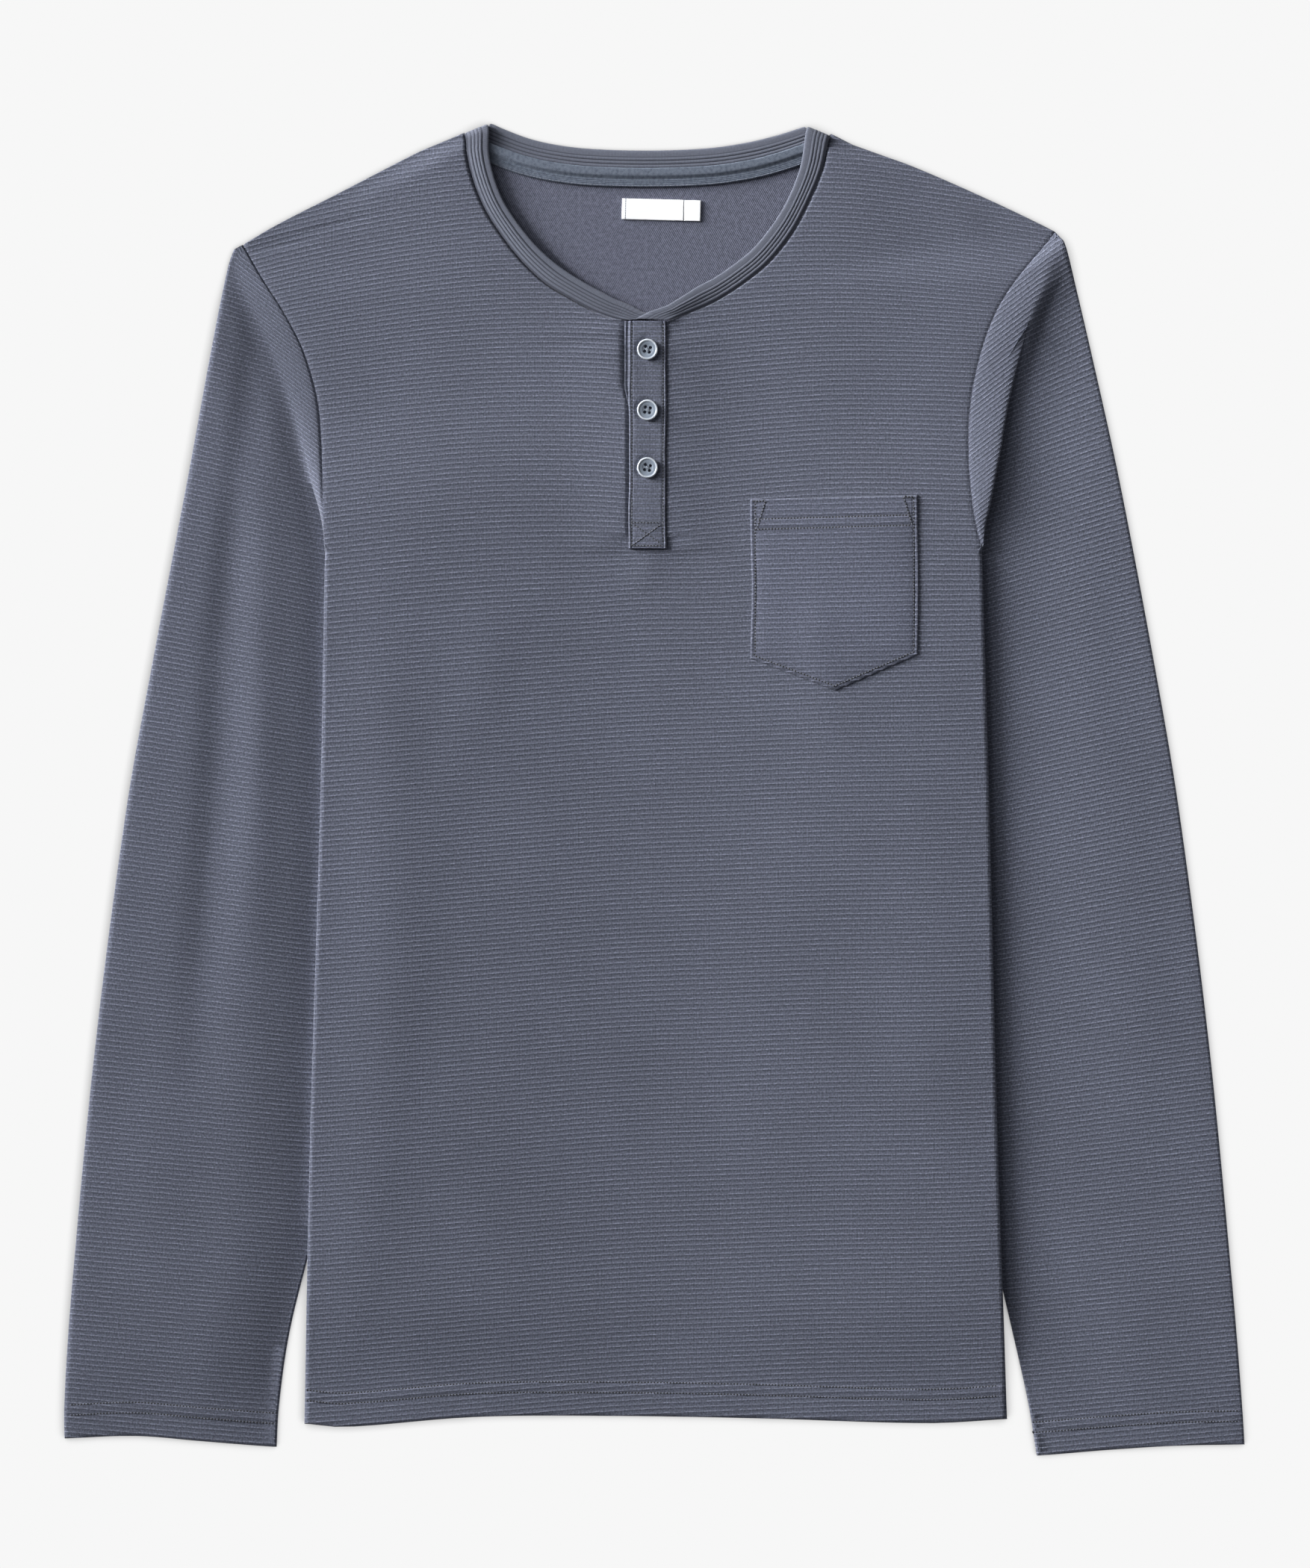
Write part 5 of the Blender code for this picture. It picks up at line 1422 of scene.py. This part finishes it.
steps = np.array((0.0, 0.25, 0.6, 1.1, 1.7, 2.3, 2.9, 3.7))
inner_left, inner_right = POCKET_LEFT + steps[-1], POCKET_RIGHT - steps[-1]
x = np.concatenate((
    POCKET_LEFT + steps, np.linspace(inner_left, POCKET_POINT, 14)[1:],
    np.linspace(POCKET_POINT, inner_right, 14)[1:-1], POCKET_RIGHT - steps[::-1],
))
x, ribs = np.meshgrid(x, rib_rows(48.0, 165.0))
from_side = np.minimum(x - POCKET_LEFT, POCKET_RIGHT - x)
sway = 0.42 * np.sin(ribs / 14.0) * (x < POCKET_POINT) + 0.35 * np.sin(ribs / 19.0 + 2.0) * (x > POCKET_POINT)
x = x + sway * (1.0 - eased(from_side / 20.0))
risen = POCKET_LEAN * (x - POCKET_POINT)
y = np.clip(ribs + risen, pocket_low_y(x), pocket_top_y(x))
from_low = 0.93 * (y - pocket_low_y(x))
from_top = pocket_top_y(x) - y
from_edge = np.minimum(from_side, from_low)
puff = np.clip(from_edge / 14.0, 0.0, 1.0)
base = front_top(x, y) + POCKET_ABOVE + POCKET_AIR * eased(puff) * eased(from_top / 20.0)
drawn = 0.30 * bell(from_edge - POCKET_EDGE, 0.6)
drawn = drawn + 0.28 * sum(bell(from_top - row, 0.8) for row in POCKET_HEMS)
face = base + POCKET_WALL + 0.9 * rib_relief(y - risen) - drawn
face += 0.2 * eased((POCKET_HEMS[1] + 1.5 - from_top) / 2.0)
face += rounded(from_edge, 0.6) + rounded(from_top, 0.5)
pocket_jersey = rib_jersey("rib jersey, pocket", "505463", "7d8194")
pocket = patch("pocket_cloth", x, y, face, base, (x, y - risen), pocket_jersey)
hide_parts("pocket")

# ------------------------------------------------------------------ label and size tab
# Two folded tabs of white woven polyester, left bare, sewn to the inside of the back. The left
# end of the longer one is turned under and stitched.
LABEL_MIDDLE = (-1.0, 318.4)
LABEL_SIZE = (34.0, 11.5)
TAB_WIDTH = 9.0
LABEL_TILT = math.radians(-1.5)
LABEL_WALL = 0.7
LABEL_TURN = 2.0
WEFT = 0.5
WARP = 0.4
TAB_STEPS = np.array((0.0, 0.1, 0.25, 0.5))


def woven_white(name):
    """Woven polyester satin: white, faintly glossy, with fine weft lines drawn 0.5 mm apart."""
    material, tree, _, x, y = started(name, {"Roughness": 0.55})
    woven = calc(tree, "MULTIPLY_ADD", wave(tree, x, WARP), 0.4, wave(tree, y, WEFT))
    tint = ramp(tree, ranged(tree, woven, -1.4, 1.4), linear("eceef1"), linear("fbfbfc"))
    return painted(material, tint, woven, 0.35, 0.05)


def tab(name, middle, size, finish):
    """A flat tab with soft edges, a little dented where its end is turned under."""
    a, b = np.meshgrid(edged(size[0], TAB_STEPS, 29), edged(size[1], TAB_STEPS, 18))
    from_edge = np.minimum(np.minimum(a, size[0] - a), np.minimum(b, size[1] - b))
    dent = 0.22 * bell(a - LABEL_TURN, 0.35) * (size[0] > 20.0)
    face = PITCH + LABEL_WALL + rounded(from_edge, 0.3) - dent + 0.05 * np.sin(a / 4.0) * np.sin(b / 3.0)
    across, up = a - 0.5 * size[0], b - 0.5 * size[1]
    x = middle[0] + math.cos(LABEL_TILT) * across - math.sin(LABEL_TILT) * up
    y = middle[1] + math.sin(LABEL_TILT) * across + math.cos(LABEL_TILT) * up
    return patch(name, x, y, face, np.full(x.shape, PITCH), (a, b), finish)


satin = woven_white("woven polyester satin")
label = tab("label_cloth", LABEL_MIDDLE, LABEL_SIZE, satin)
step = 0.5 * (LABEL_SIZE[0] + TAB_WIDTH) + GAP
beside = (LABEL_MIDDLE[0] + step * math.cos(LABEL_TILT), LABEL_MIDDLE[1] + step * math.sin(LABEL_TILT))
size_tab = tab("size_tab_cloth", beside, (TAB_WIDTH, LABEL_SIZE[1]), satin)
for piece, node, cut in ((label, "label", (0.0342, 0.0122)), (size_tab, "size_tab", (0.010, 0.0118))):
    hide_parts(node)

# ------------------------------------------------------------------ buttons
# Three 11.4 mm four-hole buttons, turned from cast polyester resin with a raised rim, and sewn on
# with a cross of pale thread.
HOLE_OUT = 1.9
HOLE_R = 0.9
THREAD_Z = 1.12
BUTTON_TURNS = (-12.0, -8.0, -11.0)
BUTTON_PROFILE = (
    (0.0, 1.06), (1.4, 1.07), (2.6, 1.10), (2.85, 1.22), (3.1, 1.30), (3.8, 1.32), (4.3, 1.34),
    (4.5, 1.42), (4.7, 1.58), (4.95, 1.70), (5.2, 1.72), (5.42, 1.64), (5.6, 1.46), (BUTTON_R, 1.2),
    (BUTTON_R, 0.9), (5.6, 0.58), (5.4, 0.32), (5.05, 0.14), (4.6, 0.0), (0.0, 0.0),
)


def cast_resin(name):
    """Pearly cast polyester: clouded grey-blue and glossy; its turned rim is paler, a painted highlight."""
    look = {"Roughness": 0.28, "IOR": 1.54, "Coat Weight": 0.35, "Coat Roughness": 0.12}
    material, tree, _, out, _ = started(name, look)
    cloud = add(tree, "TexNoise", {"Scale": 260.0, "Detail": 2.0, "Distortion": 1.5})
    tint = ramp(tree, cloud.outputs["Fac"], linear("707a87"), linear("8c96a3"), 0.3, 0.7)
    # The pale rim is a painted highlight.
    rim = ranged(tree, out, MM * 4.5, MM * 5.0)
    resin_with_rim_highlight = add(tree, "Mix", {0: rim, 6: tint, 7: linear("bcc3cb")}, data_type="RGBA")
    return painted(material, resin_with_rim_highlight.outputs[2])


BUTTON_SIDES = 56
angle = math.tau * np.arange(BUTTON_SIDES) / BUTTON_SIDES
turning = bmesh.new()
circles = []
for r, z in BUTTON_PROFILE:
    spots = [(r * math.cos(a), r * math.sin(a), z) for a in angle] if r else [(0.0, 0.0, z)]
    circles.append([turning.verts.new(spot) for spot in spots])
for inner, outer in zip(circles, circles[1:]):
    for k in range(BUTTON_SIDES):
        after = (k + 1) % BUTTON_SIDES
        corners = [inner[k % len(inner)], outer[k % len(outer)]]
        corners += [outer[after % len(outer)], inner[after % len(inner)]]
        turning.faces.new(list(dict.fromkeys(corners)))
bmesh.ops.recalc_face_normals(turning, faces=turning.faces)
disc = bpy.data.meshes.new("button blank")
turning.to_mesh(disc)
turning.free()
blank = placed("button blank", disc)
drills = bmesh.new()
for k in range(4):
    a = math.radians(45.0 + 90.0 * k)
    hole = bmesh.ops.create_cone(
        drills, cap_ends=True, segments=20, radius1=HOLE_R, radius2=HOLE_R, depth=8.0,
    )
    spot = (HOLE_OUT * math.cos(a), HOLE_OUT * math.sin(a), 1.0)
    bmesh.ops.translate(drills, vec=spot, verts=hole["verts"])
drill_data = bpy.data.meshes.new("button drills")
drills.to_mesh(drill_data)
drills.free()
drill = placed("button drills", drill_data)
cut = blank.modifiers.new("holes", "BOOLEAN")
cut.operation = "DIFFERENCE"
cut.object = drill
drilled = bpy.data.meshes.new_from_object(blank.evaluated_get(bpy.context.evaluated_depsgraph_get()))
for piece in (blank, drill):
    bpy.data.objects.remove(piece)
spots = np.array([vertex.co[:] for vertex in drilled.vertices])
outlines = [list(polygon.vertices) for polygon in drilled.polygons]
resin = cast_resin("cast polyester resin")
button_bases = []
for number, (button_y, turned) in enumerate(zip(BUTTON_Y, BUTTON_TURNS), 1):
    base = float(front_top(np.array(PLACKET_X), np.array(button_y))) + TOP_ABOVE + PLACKET_WALL + 0.05
    button_bases.append(base)
    a = math.radians(turned)
    x = PLACKET_X + math.cos(a) * spots[:, 0] - math.sin(a) * spots[:, 1]
    y = button_y + math.sin(a) * spots[:, 0] + math.cos(a) * spots[:, 1]
    data = bpy.data.meshes.new(f"button_{number}_turned")
    data.from_pydata((MM * np.stack((x, y, base + spots[:, 2]), 1)).tolist(), [], outlines)
    mapped(data, np.stack((np.hypot(spots[:, 0], spots[:, 1]), spots[:, 2]), 1))
    made = finished(f"button_{number}_turned", data, resin, sharp=38.0)
    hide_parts(f"button_{number}")

# ------------------------------------------------------------------ sewing
# Twin-needle hems, topstitching and bar tacks in matching polyester thread. Each stitch is a
# short bead of thread between two needle holes, which are drawn as near-black beads of painted
# shade, and the button threads cross in an X.
STITCH_PITCH = 1.75
THREAD_DARK = linear("4e5260")
THREAD_PALE = linear("787d8d")
BEAD_RINGS = ((-0.5, 0.0), (-0.38, 0.75), (-0.1, 1.0), (0.18, 1.0), (0.42, 0.65), (0.5, 0.0))
BEAD_SIDES = 6
BOX_TOP_Y = 146.0


def spun_thread(name, dark, pale):
    """Spun polyester thread: a slight sheen, and a twist drawn as fine slanting bands."""
    material = surfaced(name, {"Roughness": 0.6, "Sheen Weight": 0.2})
    tree = material.node_tree
    twist = add(tree, "TexWave", {"Scale": 900.0, "Distortion": 2.0}, bands_direction="DIAGONAL")
    return painted(material, ramp(tree, twist.outputs["Fac"], dark, pale))


def bead(length, width, height):
    """The points and faces of one bead that lies along x."""
    spots = []
    for place, size in BEAD_RINGS:
        turns = [math.tau * k / BEAD_SIDES for k in range(BEAD_SIDES if size else 1)]
        wide, tall = 0.5 * width * size, 0.5 * height * size
        spots += [(place * length, wide * math.cos(a), tall * math.sin(a)) for a in turns]
    faces = []
    rings = len(BEAD_RINGS) - 2
    for k in range(BEAD_SIDES):
        after = (k + 1) % BEAD_SIDES
        faces.append((0, 1 + after, 1 + k))
        for r in range(rings - 1):
            low, high = 1 + r * BEAD_SIDES, 1 + (r + 1) * BEAD_SIDES
            faces.append((low + k, low + after, high + after, high + k))
        last = 1 + (rings - 1) * BEAD_SIDES
        faces.append((last + k, last + after, 1 + rings * BEAD_SIDES))
    return np.array(spots), faces


def beads(name, places, size, finish):
    """One mesh with a bead at every (x, y, z, direction)."""
    shape, outlines = bead(*size)
    points, faces = [], []
    for x, y, z, a in places:
        start = len(shape) * len(points)
        turned_x = shape[:, 0] * math.cos(a) - shape[:, 1] * math.sin(a)
        turned_y = shape[:, 0] * math.sin(a) + shape[:, 1] * math.cos(a)
        points.append(np.stack((x + turned_x, y + turned_y, z + shape[:, 2]), 1))
        faces += [[start + k for k in face] for face in outlines]
    data = bpy.data.meshes.new(name)
    data.from_pydata((MM * np.concatenate(points)).tolist(), [], faces)
    return finished(name, data, finish, sharp=80.0)


def surface_of(piece):
    points = [vertex.co[:] for vertex in piece.data.vertices]
    return BVHTree.FromPolygons(points, [polygon.vertices[:] for polygon in piece.data.polygons])


def sewn(lines, surface, from_above=True, pitch=STITCH_PITCH):
    """Even steps along lines of (x, y) points, dropped on a surface: (x, y, z, direction)."""
    found = []
    down = -1.0 if from_above else 1.0
    for line in lines:
        line = np.array(line, float)
        steps = lengths_along(line)
        at = np.arange(0.5 * pitch, steps[-1], pitch)
        x, y = np.interp(at, steps, line[:, 0]), np.interp(at, steps, line[:, 1])
        ahead_x, ahead_y = np.interp(at + 0.4, steps, line[:, 0]), np.interp(at + 0.4, steps, line[:, 1])
        for place in zip(x, y, ahead_x - x, ahead_y - y):
            start = Vector((MM * place[0], MM * place[1], -MM * 40.0 * down))
            hit = surface.ray_cast(start, Vector((0.0, 0.0, down)))[0]
            if hit:
                found.append((place[0], place[1], hit.z / MM, math.atan2(place[3], place[2])))
    return found


thread = spun_thread("spun polyester thread, slate", THREAD_DARK, THREAD_PALE)
# The needle holes are painted shade: near-black beads in the thread's material.
hole_shade = spun_thread("needle hole shade, painted", linear("14161c"), linear("1f222a"))


def stitching(name, places, rises=1.0, hole=(1.0, 1.1, 0.3)):
    """Beads of thread at the places, and between each two a needle hole, drawn as a dark bead of painted
    shade.
    """
    lifted = [(x, y, z + 0.06 * rises, a) for x, y, z, a in places]
    between = []
    for x, y, z, a in places:
        back = 0.5 * STITCH_PITCH
        between.append((x - back * math.cos(a), y - back * math.sin(a), z + 0.08 * rises, a))
    beads(name + "_thread", lifted, (1.0, 0.46, 0.34), thread)
    beads(name + "_hole_shade", between, hole, hole_shade)


front_surface, back_surface = surface_of(front), surface_of(back)
hem_lines = []
for row in HEM_STITCHES:
    x = np.arange(-190.5, 191.5, 4.0)
    hem_lines.append(np.stack((x, hem_y(x) + row), 1))
stitching("hem_front", sewn(hem_lines, front_surface))
stitching("hem_back", sewn([line[12:-12] for line in hem_lines], back_surface, False), -1.0)
for side in SIDES:
    cuff_surface = surface_of(sleeves[side])
    cuff_lines = []
    for row in CUFF_STITCHES:
        out = np.arange(208.0, 323.0, 3.0)
        cuff_lines.append(np.stack((SIGN[side] * out, cuff_y(side, out) + row), 1))
    stitching("cuff_" + side, sewn(cuff_lines, cuff_surface))
    stitching("cuff_under_" + side, sewn(cuff_lines, cuff_surface, False), -1.0)

sewn_left, sewn_right = POCKET_LEFT + POCKET_EDGE, POCKET_RIGHT - POCKET_EDGE
pocket_border = [
    (sewn_left, POCKET_TOP[0] - 1.0), (sewn_left, POCKET_LOW[0][1] + 1.6),
    (POCKET_POINT, POCKET_LOW[1][1] + 2.6),
    (sewn_right, POCKET_LOW[2][1] + 1.6), (sewn_right, POCKET_TOP[1] - 1.0),
]
pocket_lines = [pocket_border]
for row in POCKET_HEMS:
    x = np.array((sewn_left + 0.5, sewn_right - 0.5))
    pocket_lines.append(np.stack((x, pocket_top_y(x) - row), 1))
for corner, inward in ((sewn_left, 1.0), (sewn_right, -1.0)):
    top_edge = float(pocket_top_y(corner))
    pocket_lines.append([
        (corner - 0.8 * inward, top_edge - 1.2), (corner + 5.6 * inward, top_edge - 1.2),
        (corner + 0.6 * inward, top_edge - 17.5),
    ])
stitching("pocket", sewn(pocket_lines, surface_of(pocket)))

inside_left, inside_right = PLACKET_EDGES[0] + PLACKET_EDGE, PLACKET_EDGES[1] - PLACKET_EDGE
box_low, box_high = PLACKET_END_Y + 1.6, BOX_TOP_Y
placket_lines = [
    [(inside_left, PLACKET_TOP_Y - 2.0), (inside_left, box_low)],
    [(inside_right, PLACKET_TOP_Y - 2.0), (inside_right, box_low)],
    [(inside_left, box_low), (inside_right, box_low)],
    [(inside_left, box_high), (inside_right, box_high)],
    [(inside_left + 0.4, box_low + 0.4), (inside_right - 0.4, box_high - 0.4)],
    [(inside_left + 0.4, box_high - 0.4), (inside_right - 0.4, box_low + 0.4)],
]
stitching("placket", sewn(placket_lines, surface_of(placket_top)), hole=(1.15, 0.75, 0.3))

button_thread = spun_thread("spun polyester thread, grey", linear("5f6672"), linear("939ca8"))
crossed = []
for button_y, turned, base in zip(BUTTON_Y, BUTTON_TURNS, button_bases):
    for quarter in (45.0, 135.0):
        a = math.radians(quarter + turned)
        z = base + THREAD_Z + 0.1 * (quarter > 90.0)
        for off in (-0.19, 0.19):
            crossed.append((PLACKET_X - off * math.sin(a), button_y + off * math.cos(a), z, a))
beads("button_threads", crossed, (2.5, 0.34, 0.34), button_thread)

label_left = LABEL_MIDDLE[0] - 0.5 * LABEL_SIZE[0] + LABEL_TURN
label_line = [(label_left - 0.15, LABEL_MIDDLE[1] - 5.2), (label_left + 0.15, LABEL_MIDDLE[1] + 6.2)]
beads("label_stitches", sewn([label_line], surface_of(label), pitch=1.3), (1.25, 0.4, 0.3), thread)

tape_line = sections[:, :2] - 6.9 * np.stack((np.cos(lean[:, 0]), np.sin(lean[:, 0])), 1)
beads("tape_stitches", sewn([tape_line], surface_of(tape)), (1.2, 0.38, 0.3), thread)
